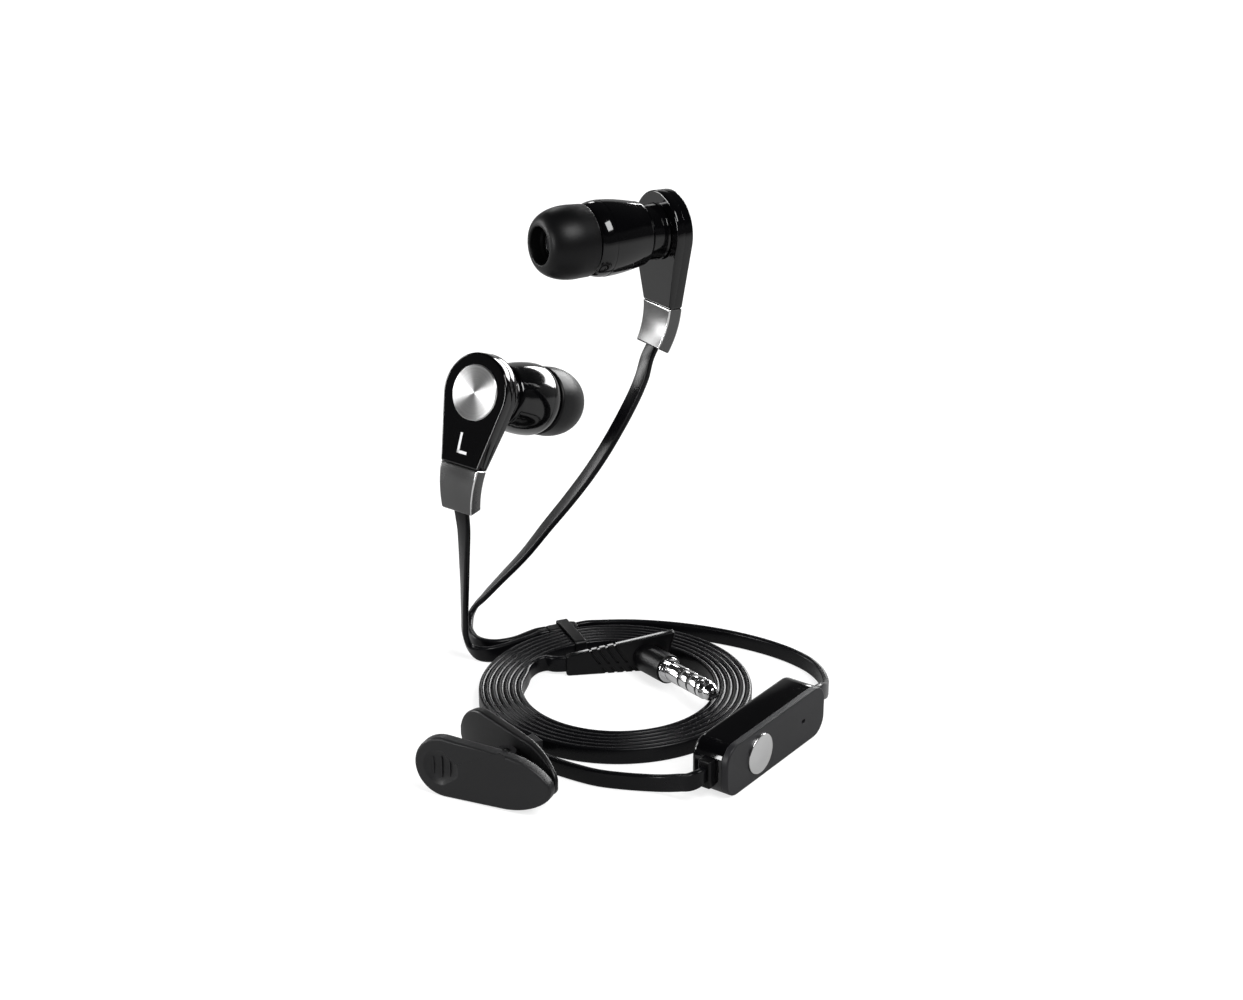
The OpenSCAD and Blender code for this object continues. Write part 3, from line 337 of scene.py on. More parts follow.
def spun_metal():
    """Aluminium turned on a lathe: rings of tool marks 0.16 mm apart, which stretch each highlight
    into a pair of wedges. Its map runs outwards in millimetres, then round the disc."""
    made = bpy.data.materials.new("lathe_turned_aluminium")
    tree = cleared(made)
    outwards = add(tree, "SeparateXYZ", (), {0: add(tree, "TexCoord")["UV"]})[0]
    rings = add(tree, "TexNoise", {"noise_dimensions": "1D", "Scale": 1 / 0.16, "Detail": 2.0},
        {"W": outwards})[0]
    along = add(tree, "Tangent", {"direction_type": "UV_MAP", "uv_map": "map"})
    shaded(tree, {**METAL, "Roughness": 0.42, "Anisotropic": 0.96}, {
        "Base Color": between(tree, linear("#bcbcbc"), linear("#e4e4e4"), rings),
        "Normal": bumped(tree, rings, 0.0025), "Tangent": along[0]})
    return made


spun = spun_metal()


# ---------------------------------------------------------------- surfaces


def piece(name, shape, place, material, slot, *nodes, body="set", uv=None, smooth=30):
    """A mesh from points in millimetres and index faces, shaded smooth below an angle in degrees,
    with faces turned outwards. It rides on a body and stands for the CAD nodes named."""
    points, faces = shape
    mesh = bpy.data.meshes.new(name)
    mesh.from_pydata(placed(points, place).tolist(), [], faces)
    if uv is not None:
        layer = mesh.uv_layers.new(name="map")
        corner = np.empty(len(mesh.loops), np.int32)
        mesh.loops.foreach_get("vertex_index", corner)
        layer.data.foreach_set("uv", np.asarray(uv, np.float32)[corner].ravel())
    work = bmesh.new()
    work.from_mesh(mesh)
    bmesh.ops.recalc_face_normals(work, faces=work.faces)
    work.to_mesh(mesh)
    work.free()
    mesh.shade_smooth()
    mesh.set_sharp_from_angle(angle=np.radians(smooth))
    mesh.materials.append(material)
    made = put(name, mesh)
    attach(made, body)
    if nodes:
        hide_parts(*nodes)
    return made


def trim(made, material, mask):
    """Gives a second finish to those faces of a loft that a mask of rings by points picks out."""
    made.data.materials.append(material)
    index = np.zeros(len(made.data.polygons), np.int32)
    index[: mask.size] = mask.ravel()
    made.data.polygons.foreach_set("material_index", index)


def unit(v):
    """Vectors divided by their lengths."""
    return v / np.linalg.norm(v, axis=-1, keepdims=True)


def tangents(path):
    """Directions along a path: each from the point before to the point after."""
    return unit(np.gradient(path, axis=0))


def leftward(v):
    """Flat vectors turned left by a right angle."""
    return np.column_stack([-v[:, 1], v[:, 0]])


def on_circle(angle):
    """Flat points at angles on a circle of radius 1."""
    return np.column_stack([np.cos(angle), np.sin(angle)])


def run(path):
    """Distance along a path at each of its points."""
    return np.concatenate([[0], np.cumsum(np.linalg.norm(np.diff(path, axis=0), axis=1))])


def corners(low, high):
    """The four corners of a rectangle between two, counter-clockwise from the low one."""
    return [[low[0], low[1]], [high[0], low[1]], [high[0], high[1]], [low[0], high[1]]]


def grid_faces(rings, n, joined=False):
    """Quads between each ring of n points and the next; joined ties the last ring to the first."""
    i = np.arange(rings if joined else rings - 1)[:, None]
    k = np.arange(n)[None, :]
    a, b = i * n + k, i * n + (k + 1) % n
    nxt = ((i + 1) % rings) * n
    return np.stack([a, b, nxt + (k + 1) % n, nxt + k], -1).reshape(-1, 4).tolist()


def loft(rings, joined=False):
    """Points and faces of a skin over equal rings. Unless joined, both ends are closed flat."""
    rings = np.asarray(rings, float)
    m, n = rings.shape[:2]
    faces = grid_faces(m, n, joined)
    if not joined:
        faces += [list(range(n - 1, -1, -1)), list(range((m - 1) * n, m * n))]
    return rings.reshape(-1, 3), faces


def moved(shape, offset, turn=LAYOUT[0]):
    """Points and faces turned, then moved by an offset."""
    return shape[0] @ turn.T + offset, shape[1]


def merged(*shapes):
    """Several sets of points and faces as one."""
    points, faces, start = [], [], 0
    for p, f in shapes:
        points.append(p)
        faces += [[i + start for i in face] for face in f]
        start += len(p)
    return np.concatenate(points), faces


def rounded(line, radii, steps=6, closed=True):
    """A polyline with its corners rounded: each corner is cut back by radius times tan of half the
    turn, and an arc of steps pieces joins the cuts. A radius of 0 keeps the corner."""
    pts = np.asarray(line, float)
    n = len(pts)
    radii = np.broadcast_to(radii, n)
    out = []
    for i, p in enumerate(pts):
        if radii[i] <= 0 or (not closed and i in (0, n - 1)):
            out.append(p[None])
            continue
        before, after = pts[i - 1] - p, pts[(i + 1) % n] - p
        lb, la = np.linalg.norm(before), np.linalg.norm(after)
        ub, ua = before / lb, after / la
        half = np.arccos(np.clip(ub @ ua, -1, 1)) / 2
        cut = min(radii[i] / np.tan(half), 0.49 * lb, 0.49 * la)
        r = cut * np.tan(half)
        middle = p + unit(ub + ua) * (r / np.sin(half))
        start, end = p + ub * cut - middle, p + ua * cut - middle
        t = np.linspace(0, 1, steps + 1)[:, None]
        angle = np.arccos(np.clip(start @ end / (r * r), -1, 1))
        arc = start * np.sin((1 - t) * angle) + end * np.sin(t * angle)
        out.append(middle + arc / np.sin(angle))
    return np.concatenate(out)


def inset(outline, d):
    """A closed outline moved inwards by d along the mean normal of each point's two sides."""
    after = np.roll(outline, -1, 0)
    ahead, behind = unit(after - outline), unit(outline - np.roll(outline, 1, 0))
    side = np.sign(np.sum(outline[:, 0] * after[:, 1] - outline[:, 1] * after[:, 0]))
    normal = unit(leftward(ahead + behind) * side)
    square = np.sum(normal * leftward(ahead) * side, 1, keepdims=True)
    return outline + normal * (d / np.clip(square, 0.5, 1))


def at_y(outline, y):
    """An outline in X and Z as points at Y, a number or one for each point."""
    return np.column_stack([outline[:, 0], np.broadcast_to(y, len(outline)), outline[:, 1]])


def at_z(outline, z):
    """An outline in X and Y as points at Z, a number or one for each point."""
    return np.column_stack([outline, np.broadcast_to(z, len(outline))])


def quarter(steps):
    """Sine and cosine of the angles of a quarter circle in steps, each taken away from 1."""
    return [(1 - np.sin(a), 1 - np.cos(a)) for a in np.linspace(0, np.pi / 2, steps + 1)]


def edge_rings(outline, y0, y1, r0, r1, steps=4, rise=None):
    """Rings of a slab from y0 to y1 with edges rounded by r0 and r1: each is a quarter circle
    stepped in angle, and one ring just inside it keeps the flat flat. rise bends y."""
    rings = [(r0 + RIM, y0), *((r0 * s, y0 + r0 * c) for s, c in quarter(steps))]
    rings += [*((r1 * c, y1 - r1 * s) for s, c in quarter(steps)), (r1 + RIM, y1)]
    flats = [(inset(outline, d), y) for d, y in rings]
    return [at_y(flat, y if rise is None else rise(flat, y)) for flat, y in flats]


def slab(outline, z0, z1, r0, r1, steps=4):
    """An outline in X and Y made a slab from z0 to z1, with rounded edges as in edge_rings."""
    return loft([at_z(r[:, [0, 2]], r[:, 1]) for r in edge_rings(outline, z0, z1, r0, r1, steps)])


def soft_block(low, high, r, steps=3):
    """A block between two corners with every edge rounded by r."""
    return slab(rounded(corners(low, high), r, steps), low[2], high[2], r, r, steps)


def lathed(profile, n=96):
    """A profile of radius and Y, turned about Y: the points and faces of a closed ring, or of a
    closed lump where the profile starts or ends on the axis."""
    circle = on_circle(np.linspace(0, TAU, n, endpoint=False))
    solid = min(profile[0][0], profile[-1][0]) < 2 * ON_AXIS
    return loft([at_y(r * circle, y) for r, y in profile], joined=not solid)


def ring_round(outline, centre, r, y):
    """A circle with a point in the direction of each point of an outline, seen from the centre."""
    d = outline - centre
    return at_y(centre + r * on_circle(np.arctan2(d[:, 1], d[:, 0])), y)


def smooth_path(points, step, extra=None):
    """A smooth curve through points, with extra values carried along. Each span is a Hermite cubic
    whose end slopes weigh the two neighbouring chords by their lengths."""
    p = np.asarray(points, float) if extra is None else np.hstack([points, extra])
    chord = np.linalg.norm(np.diff(p[:, :3], axis=0), axis=1)
    slope = np.diff(p, axis=0) / chord[:, None]
    last, nxt = chord[:-1, None], chord[1:, None]
    m = np.empty_like(p)
    m[1:-1] = (slope[:-1] * nxt + slope[1:] * last) / (nxt + last)
    m[0], m[-1] = slope[0], slope[-1]
    s = np.concatenate([[0], np.cumsum(chord)])
    u = np.linspace(0, s[-1], int(np.ceil(s[-1] / step)) + 1)
    i = np.clip(np.searchsorted(s, u, side="right") - 1, 0, len(chord) - 1)
    h = chord[i][:, None]
    t = ((u - s[i]) / chord[i])[:, None]
    out = (
        (2 * t**3 - 3 * t**2 + 1) * p[i] + (t**3 - 2 * t**2 + t) * h * m[i]
        + (-2 * t**3 + 3 * t**2) * p[i + 1] + (t**3 - t**2) * h * m[i + 1])
    return out[:, :3], out[:, 3:]


def strip(path, wide, width, thick, corner, steps=4):
    """A flat strip along a path: at each point a rounded rectangle, its width along wide made
    square to the path. Gives the shape, and a map of millimetres along and round it."""
    tangent = tangents(path)
    wide = unit(wide - np.sum(wide * tangent, 1, keepdims=True) * tangent)
    thin = np.cross(tangent, wide)
    thick = np.broadcast_to(thick, len(path))[:, None, None]
    section = rounded(corners((-width / 2, -0.5), (width / 2, 0.5)), corner, steps)
    rings = (
        path[:, None] + wide[:, None] * section[None, :, :1]
        + thin[:, None] * section[None, :, 1:] * thick)
    uv = np.stack(np.broadcast_arrays(run(path)[:, None], run(section)[None]), -1)
    return loft(rings), uv.reshape(-1, 2)


# ---------------------------------------------------------------- camera

camera_data = bpy.data.cameras.new("camera")
camera_data.lens = 66
camera_data.sensor_width = 36
camera_data.sensor_fit = "HORIZONTAL"
camera_data.clip_start = 0.01
camera = put("camera", camera_data)
camera.location = (np.array([0.79, -355.64, 188.26]) - ORIGIN) * MM
camera.rotation_euler = (np.radians(90 - 22.9), 0, 0)
bpy.context.scene.camera = camera


# ---------------------------------------------------------------- cords

# Routes in the layout, and the way that each point's width faces. The widths have two more rows at
# each end, for the ports.
LEFT_BY_HAND = [
    [-26.83, 9.9, 28.15], [-26.89, 10.6, 24.96], [-27.03, 11.6, 20.64], [-27.17, 12.7, 16.02],
    [-27.38, 13.9, 11.1], [-27.48, 14.7, 7.92], [-27.5, 15.2, 5.46], [-27.3, 15.5, 4.2],
    [-26.6, 15.3, 2.5], [-25.3, 14.7, 1.7], [-23.4, 14.4, 1.55], [-21.2, 15.45, 1.5],
    [-18.5, 17.4, 1.5], [-16.1, 19.3, 1.5]]
LEFT_WIDTHS = [
    [0.788, -0.616, 0], [0.743, -0.669, 0], [0.643, -0.766, 0], [0.53, -0.848, 0],
    [0.407, -0.914, 0], [0.292, -0.956, 0], [0.208, -0.978, 0], [0.174, -0.985, 0],
    [0.17, -0.98, 0.05], [0.15, -0.95, 0.2], [0.1, -0.75, 0.6], [0.05, -0.35, 0.93],
    [0, -0.05, 1], *[[0, 0, 1]] * 5]
RIGHT_BY_HAND = [
    [4.35, 17.9, 53.7], [3.58, 17.7, 51.69], [1.84, 17.7, 47.8], [-0.13, 18.1, 43.75],
    [-2.31, 18.9, 39.46], [-4.82, 20.0, 35], [-8.69, 21.8, 28.83], [-12.49, 23.5, 23.22],
    [-17.26, 25.4, 16.16], [-21.61, 26.9, 10.67], [-24.78, 27.7, 6.75], [-26.53, 28, 4.61],
    [-27.2, 27.6, 3.4], [-27.4, 26.1, 2.3], [-27.25, 23.9, 1.75], [-26.6, 20.9, 1.55],
    [-25.6, 18.9, 1.5], [-23.9, 17.7, 1.5], [-22.1, 17.45, 1.5], [-19.9, 18.1, 1.5],
    [-18.3, 19.05, 1.5], [-16.6, 20.6, 1.5]]
RIGHT_WIDTHS = [
    [-0.53, 0.85, -0.03], [-0.55, 0.83, 0], [-0.62, 0.78, 0], [-0.6, 0.8, 0],
    [-0.58, 0.81, 0], [-0.55, 0.83, 0], [-0.52, 0.85, 0], [-0.5, 0.87, 0],
    [-0.46, 0.88, -0.05], [-0.4, 0.91, -0.1], [-0.3, 0.93, -0.18], [-0.22, 0.94, -0.26],
    [-0.16, 0.92, -0.35], [-0.1, 0.86, -0.5], [-0.04, 0.8, -0.6], [0, 0.6, -0.8],
    [0, 0.35, -0.94], [0, 0.15, -0.98], [0, 0.05, -1], *[[0, 0, -1]] * 7]
BACK_BY_HAND = [
    [-3.0, 25.6, 1.5], [1.6, 25.8, 1.5], [6.1, 25.45, 1.5], [10.8, 24.6, 1.5], [15.2, 23.35, 1.5],
    [20.0, 21.5, 1.5], [24.4, 19.25, 1.5], [28.3, 16.7, 1.5], [31.9, 13.55, 1.5],
    [34.6, 10.15, 1.5], [36.1, 6.8, 1.5], [36.7, 2.9, 1.7], [36.4, -1.4, 2.6]]
FRONT_BY_HAND = [
    [12.0, -35.6, 3.9], [10.0, -34.4, 3.0], [7.6, -33.0, 2.1], [4.6, -31.9, 1.6],
    [1.0, -31.2, 1.5], [-3.0, -30.2, 1.5], [-7.2, -28.1, 1.5], [-11.2, -25.4, 1.5],
    [-14.5, -22.1, 1.5]]
PAST_HOOK = [-19.6, -13.8, 1.5]  # where the front cord goes on to from the clip's hook
LEAD_BY_HAND = [[-13.8, 10.4, 1.6], [-12.7, 10.7, 1.7], [-11.4, 9.9, 1.9]]
SPLITTER = np.array([-10.2, 23.4, 0])
SPLITTER_TURN = turned((0, 0, 23.5))
SPLITTER_WAY, SPLITTER_SIDE = SPLITTER_TURN @ [1, 0, 0], SPLITTER_TURN @ [0, 1, 0]


def pair(point, way, step=1.8):
    """A port and a point straight out of it."""
    return [point, point + way * step]


def on_bend(angle, across=0.0):
    """Y and Z on a collar's bend: an arc down from the stem's end, plus a distance across it."""
    y = COLLAR_T / 2 + COLLAR_BEND * (1 - np.cos(angle)) + across * np.cos(angle)
    z = -STEM_L - COLLAR_BEND * np.sin(angle) + across * np.sin(angle)
    return y, z


def exit_of(place):
    """Where the cord leaves a collar, and which way, in the layout."""
    way = np.array([0, np.sin(COLLAR_ANGLE), -np.cos(COLLAR_ANGLE)])
    return place[0] @ [0, *on_bend(COLLAR_ANGLE)] + place[1], place[0] @ way


def spiral():
    """Centres of the coil, 24 to a turn: the angle falls evenly and the radius with it."""
    i = np.arange(COIL_STEPS + 1)
    r = COIL_R - COIL_PITCH * i / COIL_RINGS
    turn = on_circle(np.radians(COIL_START - i * 360 / COIL_RINGS))
    return at_z(r[:, None] * turn, CORD_W / 2)


def coil_thickness(path):
    """The cord is 1.1 mm thick, and pressed to 1.04 mm where it is wound."""
    wound = np.linalg.norm(path[:, :2], axis=1) < COIL_R + 0.3
    return np.where(wound, WOUND_T, CORD_T)


def declare(name, route, widths, nodes, thick=CORD_T):
    """A flat cord through a route's points, standing for its CAD pieces."""
    path, wide = smooth_path(route, 0.5, np.broadcast_to(widths, (len(route), 3)))
    shape, uv = strip(path, wide, CORD_W, thick(path) if callable(thick) else thick, CORD_CORNER)
    made = piece(name, shape, LAYOUT, jacket, "cord_black", *nodes, uv=uv, smooth=60)


left_exit, left_way = exit_of(LEFT)
right_exit, right_way = exit_of(RIGHT)
remote_way = REMOTE[0] @ [1, 0, 0]
gland_port = {
    side: REMOTE[0] @ [side * (REMOTE_L / 2 + GLAND_L), REMOTE_D / 2, REMOTE_MID] + REMOTE[1]
    for side in (-1, 1)}
coil = spiral()
coil_in, coil_out = unit(coil[0] - coil[1]), unit(coil[-1] - coil[-2])
plug_way = np.array([np.cos(PLUG_YAW), np.sin(PLUG_YAW), 0])
lead_end = PLUG_TAIL + [0, 0, PLUG_CORD_Z]
split_in = SPLITTER + UP * CORD_W / 2 - SPLITTER_WAY * SPLITTER_L / 2
split_out = SPLITTER + UP * CORD_W / 2 + SPLITTER_WAY * SPLITTER_L / 2
apart = SPLITTER_SIDE * (CORD_T / 2 + 0.1)

left_route = [
    *pair(left_exit, left_way), *LEFT_BY_HAND, *pair(split_in - apart, -SPLITTER_WAY)[::-1]]
right_route = [
    *pair(right_exit, right_way), *RIGHT_BY_HAND, *pair(split_in + apart, -SPLITTER_WAY)[::-1]]
back_route = [
    *pair(gland_port[1], remote_way), *BACK_BY_HAND[::-1], *pair(split_out, SPLITTER_WAY)[::-1]]
main_route = [
    *pair(gland_port[-1], -remote_way, 1.2), *FRONT_BY_HAND,
    *pair(coil[0] + coil_in * CORD_W, coil_in)[::-1], *coil, coil[-1] + coil_out * CORD_W,
    *LEAD_BY_HAND, *pair(lead_end, -plug_way, 1)[::-1]]

# moulded splitter over the three cords' meeting, narrower at its ends
splitter_side = np.array([
    [-SPLITTER_L / 2, 1.1], [-2.2, SPLITTER_HALF], [2.2, SPLITTER_HALF], [SPLITTER_L / 2, 0.8]])
splitter_outline = rounded([*(splitter_side * [1, -1]), *splitter_side[::-1]], 0.3, 3)
splitter = piece("cord_splitter", slab(splitter_outline, 0.02, CORD_W, 0.3, 0.4),
    (SPLITTER_TURN, SPLITTER), moulded_tpe, "cord_black", "splitter")

# strap from the floor inside the coil's turns, over them, and down outside the splitter. Its own
# middle runs 0.35 mm outside the splitter and 0.8 mm inside the middle of the innermost turn.
tie_out = np.hypot(*SPLITTER[:2]) + SPLITTER_HALF + 0.35
tie_in = COIL_R - COIL_PITCH * ((COIL_START - TIE_ANGLE) / 360 + 5) - 0.8
tie_path = at_y(rounded(
    [[tie_in, 0], [tie_in, TIE_TOP], [tie_out, TIE_TOP], [tie_out, 0]], 0.5, closed=False), 0)
tie_shape, tie_uv = strip(tie_path, np.array([0, 1, 0]), TIE_W, TIE_T, 0.12)
tie = piece("coil_strap", tie_shape, (turned((0, 0, TIE_ANGLE)), np.zeros(3)), moulded_tpe,
    "cord_black", "coil_tie", uv=tie_uv)


def plug_section(x, cut=0.0, close=0.0):
    """The moulding's section at x: its top rises evenly from 3.85 to 7.45 mm, with a flat 1.3 mm
    wide along the front and a chamfer behind it. cut is a groove's depth, which leaves a spine on
    each side between 1.25 and 1.95 mm up; close draws the whole section in. Points then move along
    x: by 0.64 for each mm below the top near the grooves, and by the overhang above 4.4 mm at the
    elbow."""
    lean = OVERHANG * np.clip((x - 12) / (PLUG_L - 12), 0, 1)
    half = PLUG_HALF + 0.1 * x / PLUG_L - close
    top = PLUG_LOW + PLUG_RISE * (x + lean) / (PLUG_L + OVERHANG) - close
    inner, high, low = half - cut, top - cut, min(0.6 * close, 0.5)
    ridge = PLUG_HALF - half
    ring = rounded(
        [[-inner, low], [inner, low], [inner, high - 0.9], [ridge, high], [-inner, high]],
        [0.25, 0.25, 0.3, 0.15, 0.16], 4)
    spine = np.array([[1.15, inner], [1.25, half], [1.95, half], [2.05, inner]])
    back, front = spine[:, ::-1], spine[::-1, ::-1] * [-1, 1]
    ring = np.concatenate([ring[:10], back, ring[10:], front])
    z = ring[:, 1]
    slant = 0.64 * np.clip((x - 0.6) / 3, 0, 1) * np.clip((13 - x) / 4, 0, 1)
    return np.column_stack([x + slant * (top - z) + lean * np.clip((z - 4.4) / 0.8, 0, 1), ring])


# plug moulding: sections from the cord to the elbow, past four grooves, and the jack's round stub
cord_end = ((0.0, 0.4), (0.06, 0.2), (0.25, 0.06), (0.5, 0.0))
groove = ((-0.26, 0.0), (-0.18, 0.3), (0.18, 0.3), (0.26, 0.0))
elbow_end = ((0.5, 0.0), (0.22, 0.05), (0.06, 0.16), (0.0, 0.34))
sections = [plug_section(x, 0, close) for x, close in cord_end]
sections += [plug_section(x + dx, cut) for x in GROOVES for dx, cut in groove]
sections += [plug_section(x) for x in (9.4, 10.5, 12, 14, 16)]
sections += [plug_section(PLUG_L - x, 0, close) for x, close in elbow_end]
stub_points, stub_faces = moved(lathed(rounded(
    [[ON_AXIS, -7.6], [2.6, -7.6], [2.6, 0.4], [2.36, 0.4], [2.36, -0.02], [ON_AXIS, -0.02]],
    [0, 0.6, 0.12, 0.05, 0, 0], 5, closed=False)), JACK[1], JACK[0])
stub_points[:, 2] = np.maximum(stub_points[:, 2], PLUG_TAIL[2])
plug = piece("plug_moulding",
    merged(moved(loft(sections), PLUG[1], PLUG[0]), (stub_points, stub_faces)),
    LAYOUT, moulded_tpe, "plug_black", "plug_body")
# the flat lies between the fourth and fifth corners of each section
flat = np.zeros((len(sections) - 1, len(sections[0])), bool)
flat[3:-3, 23] = True
trim(plug, polished_tpe, flat)

# jack: poles turned round a core, with nylon rings between them
POLE_END = SHOULDER_T + JACK_L - CONTACT_L
POLES = [POLE_END, POLE_END - POLE_STEP, POLE_END - 2 * POLE_STEP]


def pole(name, y0, y1, *nodes, r=JACK_R, edge=0.06, material=nickel, slot="jack_nickel"):
    """One turned ring of the jack between two heights, round its core."""
    profile = rounded([[CORE_R, y0], [r, y0], [r, y1], [CORE_R, y1]], [0, edge, edge, 0], 3)
    return piece(name, lathed(profile, 64), JACK, material, slot, *nodes)


on_jack = [
    pole("jack_flange", 0, SHOULDER_T, "jack_shoulder", r=SHOULDER_R, edge=0.18),
    pole("jack_sleeve_contact", SHOULDER_T, POLES[2] - INSULATOR_T, "jack_sleeve"),
    pole("jack_second_ring", POLES[2], POLES[1] - INSULATOR_T, "jack_ring_2"),
    pole("jack_first_ring", POLES[1], POLES[0] - INSULATOR_T, "jack_ring_1")]
for i, y in enumerate(POLES):
    on_jack.append(pole(f"jack_insulator_{i}", y - INSULATOR_T, y, *["jack_insulators"][i:],
        r=JACK_R - 0.03, edge=0.02, material=nylon, slot="jack_insulator"))
tip_contact = rounded(
    [[ON_AXIS, 0], [JACK_R, 0], [JACK_R, 0.7], [1.2, 1.3], [1.2, 1.5], [1.65, 2.0], [1.0, 3.1],
        [0.5, CONTACT_L], [ON_AXIS, CONTACT_L]],
    [0, 0.05, 0.15, 0.1, 0.1, 0.35, 0.4, 0.3, 0], 5, closed=False) + [0, POLE_END]
on_jack.append(
    piece("jack_tip_contact", lathed(tip_contact, 64), JACK, nickel, "jack_nickel", "jack_tip"))

declare("main_cord", main_route, UP, ["front_cord", "cord_coil", "plug_lead"],
    coil_thickness)
declare("back_cord_run", back_route, UP, ["back_cord"])
declare("left_cord_run", left_route, LEFT_WIDTHS, ["left_cord"])
declare("right_cord_run", right_route, RIGHT_WIDTHS, ["right_cord"])


# ---------------------------------------------------------------- earpieces


def teardrop():
    """The plate's outline: the round head from tangent to tangent, then the stem's two corners."""
    turn = np.arctan2(-STEM_L, STEM_HALF) + np.arccos(PLATE_R / np.hypot(STEM_HALF, STEM_L))
    head = PLATE_R * on_circle(np.linspace(turn, np.pi - turn, 81))
    left_foot, right_foot = np.array([[-STEM_HALF, -STEM_L], [STEM_HALF, -STEM_L]])
    side = np.linspace(0, 1, 14)[1:-1, None]
    left_side = head[-1] * (1 - side) + left_foot * side
    right_side = right_foot * (1 - side) + head[0] * side
    low = rounded([left_side[-1], left_foot, right_foot, right_side[0]],
        [0, PLATE_EDGE, PLATE_EDGE, 0], 3, closed=False)
    return np.concatenate([head, left_side[:-1], low, right_side[1:]])


def back_slope(flat, y):
    """The plate thins below the neck: from 4.95 mm below the head's centre to the stem's end, its
    back falls evenly to the collar's thickness."""
    if y <= SHELL_SEAM + 0.2:
        return y
    return y - (PLATE_T - COLLAR_T) * np.clip((-4.95 - flat[:, 1]) / (STEM_L - 4.95), 0, 1)


def plate_front():
    """The front shell, with a round seat for the disc."""
    outline = teardrop()
    seat = (
        (ON_AXIS, SEAT - 0.02), (DISC_R + 0.05, SEAT), (DISC_R + 0.05, 0.05), (DISC_R + 0.1, 0),
        (DISC_R + 0.2, 0))
    rings = [ring_round(outline, np.zeros(2), r, y) for r, y in seat]
    return loft(rings + edge_rings(outline, 0, SHELL_SEAM - SEAM_GAP, PLATE_EDGE, SEAM_EDGE))


def plate_back():
    """The rear shell, with a tongue that reaches down into the collar."""
    rings = edge_rings(
        teardrop(), SHELL_SEAM + SEAM_GAP, PLATE_T, SEAM_EDGE, PLATE_EDGE, rise=back_slope)
    tongue = soft_block([-2.7, 0.8, -STEM_L - 2.3], [2.7, 2.0, -STEM_L + 0.02], 0.1)
    return merged(loft(rings), tongue)


def disc(n=128):
    """The disc and its map. It stands 0.05 mm proud in the middle, more with the square of the
    radius, and has a turned chamfer."""
    r = np.concatenate([[ON_AXIS], np.linspace(0.3, DISC_R - 0.3, 12)])
    profile = [[x, -0.05 - 0.05 * (x / DISC_R) ** 2] for x in r]
    profile += [
        [DISC_R - 0.22, -0.12], [DISC_R - 0.02, 0.06], [DISC_R, 0.1], [DISC_R, SEAT - 0.05],
        [ON_AXIS, SEAT - 0.05]]
    outwards = np.repeat(np.array(profile)[:, 0], n)
    return lathed(profile, n), np.column_stack([outwards, np.tile(np.arange(n) / n, len(profile))])


def stroke(path):
    """A letter's stroke: a flat band along a path in X and Z, just proud of the plate."""
    path = np.asarray(path, float)
    side = leftward(tangents(path)) * MARK_W / 2
    ring = np.concatenate([path - side, (path + side)[::-1]])
    return loft([at_y(ring, -0.02), at_y(ring, 0.1)])


def mark(side):
    """A plain L or R low on the stem; the R's bowl is half an ellipse between two short lines."""
    strokes = [[[-0.83, -7.2], [-0.83, -10.8]]]
    if side == "left":
        strokes += [[[-1.08, -10.55], [1.1, -10.55]]]
    else:
        bow = on_circle(np.linspace(np.pi / 2, -np.pi / 2, 17)) * [0.95, 0.9] + [0.1, -8.35]
        strokes += [[[-0.85, -7.45], *bow, [-0.85, -9.25]], [[0.05, -9.3], [0.95, -10.8]]]
    return merged(*map(stroke, strokes))


def neck():
    """The neck between the plate and the barrel, flared at both ends."""
    return lathed(rounded(
        [[BORE_R, PLATE_T], [NECK_R + 0.3, PLATE_T], [NECK_R, PLATE_T + 0.35],
            [NECK_R, BARREL_Y - 0.25], [NECK_R + 0.25, BARREL_Y], [BORE_R, BARREL_Y]],
        [0, 0.12, 0.25, 0.2, 0.08, 0], 4))


def rear_barrel():
    """The barrel's rear half: its wall swells by the sine of the way along, and its rear edge is
    rounded into a flat ring round the neck."""
    back, join = BARREL_Y + JOIN_GAP, BARREL_JOIN - JOIN_GAP
    s = np.linspace(0, 1, 17)[1:]
    wall = np.column_stack([
        BARREL_BACK_R + (BARREL_R - BARREL_BACK_R) * np.sin(s * np.pi / 2),
        BARREL_Y + 0.6 + (BARREL_JOIN - BARREL_Y - 0.68) * s])
    edge = rounded([[BORE_R, back], [BARREL_BACK_R - 0.05, back], wall[1]], [0, 1.3, 0], 12, False)
    inside = [
        [BARREL_R - 0.06, join], [BARREL_INNER_R, join], [BARREL_INNER_R, 10.6], [BORE_R, 7.5]]
    return lathed(np.concatenate([edge, wall[2:], inside]))


def front_barrel():
    """The barrel's front half: a quarter ellipse from the joint to its face, then the nozzle with
    its lip, and back inside."""
    join = BARREL_JOIN + JOIN_GAP
    a = np.linspace(0, np.pi / 2, 9)[1:]
    brow = np.column_stack([
        BARREL_R - 1.3 * (1 - np.cos(a)), join + (BARREL_FRONT - join) * np.sin(a)])
    nozzle = rounded(
        [[4.4, BARREL_FRONT], [NOZZLE_R, BARREL_FRONT], [NOZZLE_R, NOZZLE_END - 1],
            [NOZZLE_LIP_R, NOZZLE_END - 0.7], [NOZZLE_LIP_R, NOZZLE_END], [2.3, NOZZLE_END],
            [2.3, NOZZLE_END - 0.4], [1.9, NOZZLE_END - 0.4], [1.9, BARREL_FRONT - 1],
            [4.6, BARREL_FRONT - 1], [4.6, BARREL_JOIN + 0.4],
            [BARREL_INNER_R, BARREL_JOIN + 0.4]],
        [0, 0.3, 0.1, 0.1, 0.15, 0.1, 0, 0, 0, 0, 0, 0], 4, closed=False)
    return lathed(np.concatenate([
        [[BARREL_INNER_R, join], [BARREL_R - 0.06, join]], brow, nozzle]))


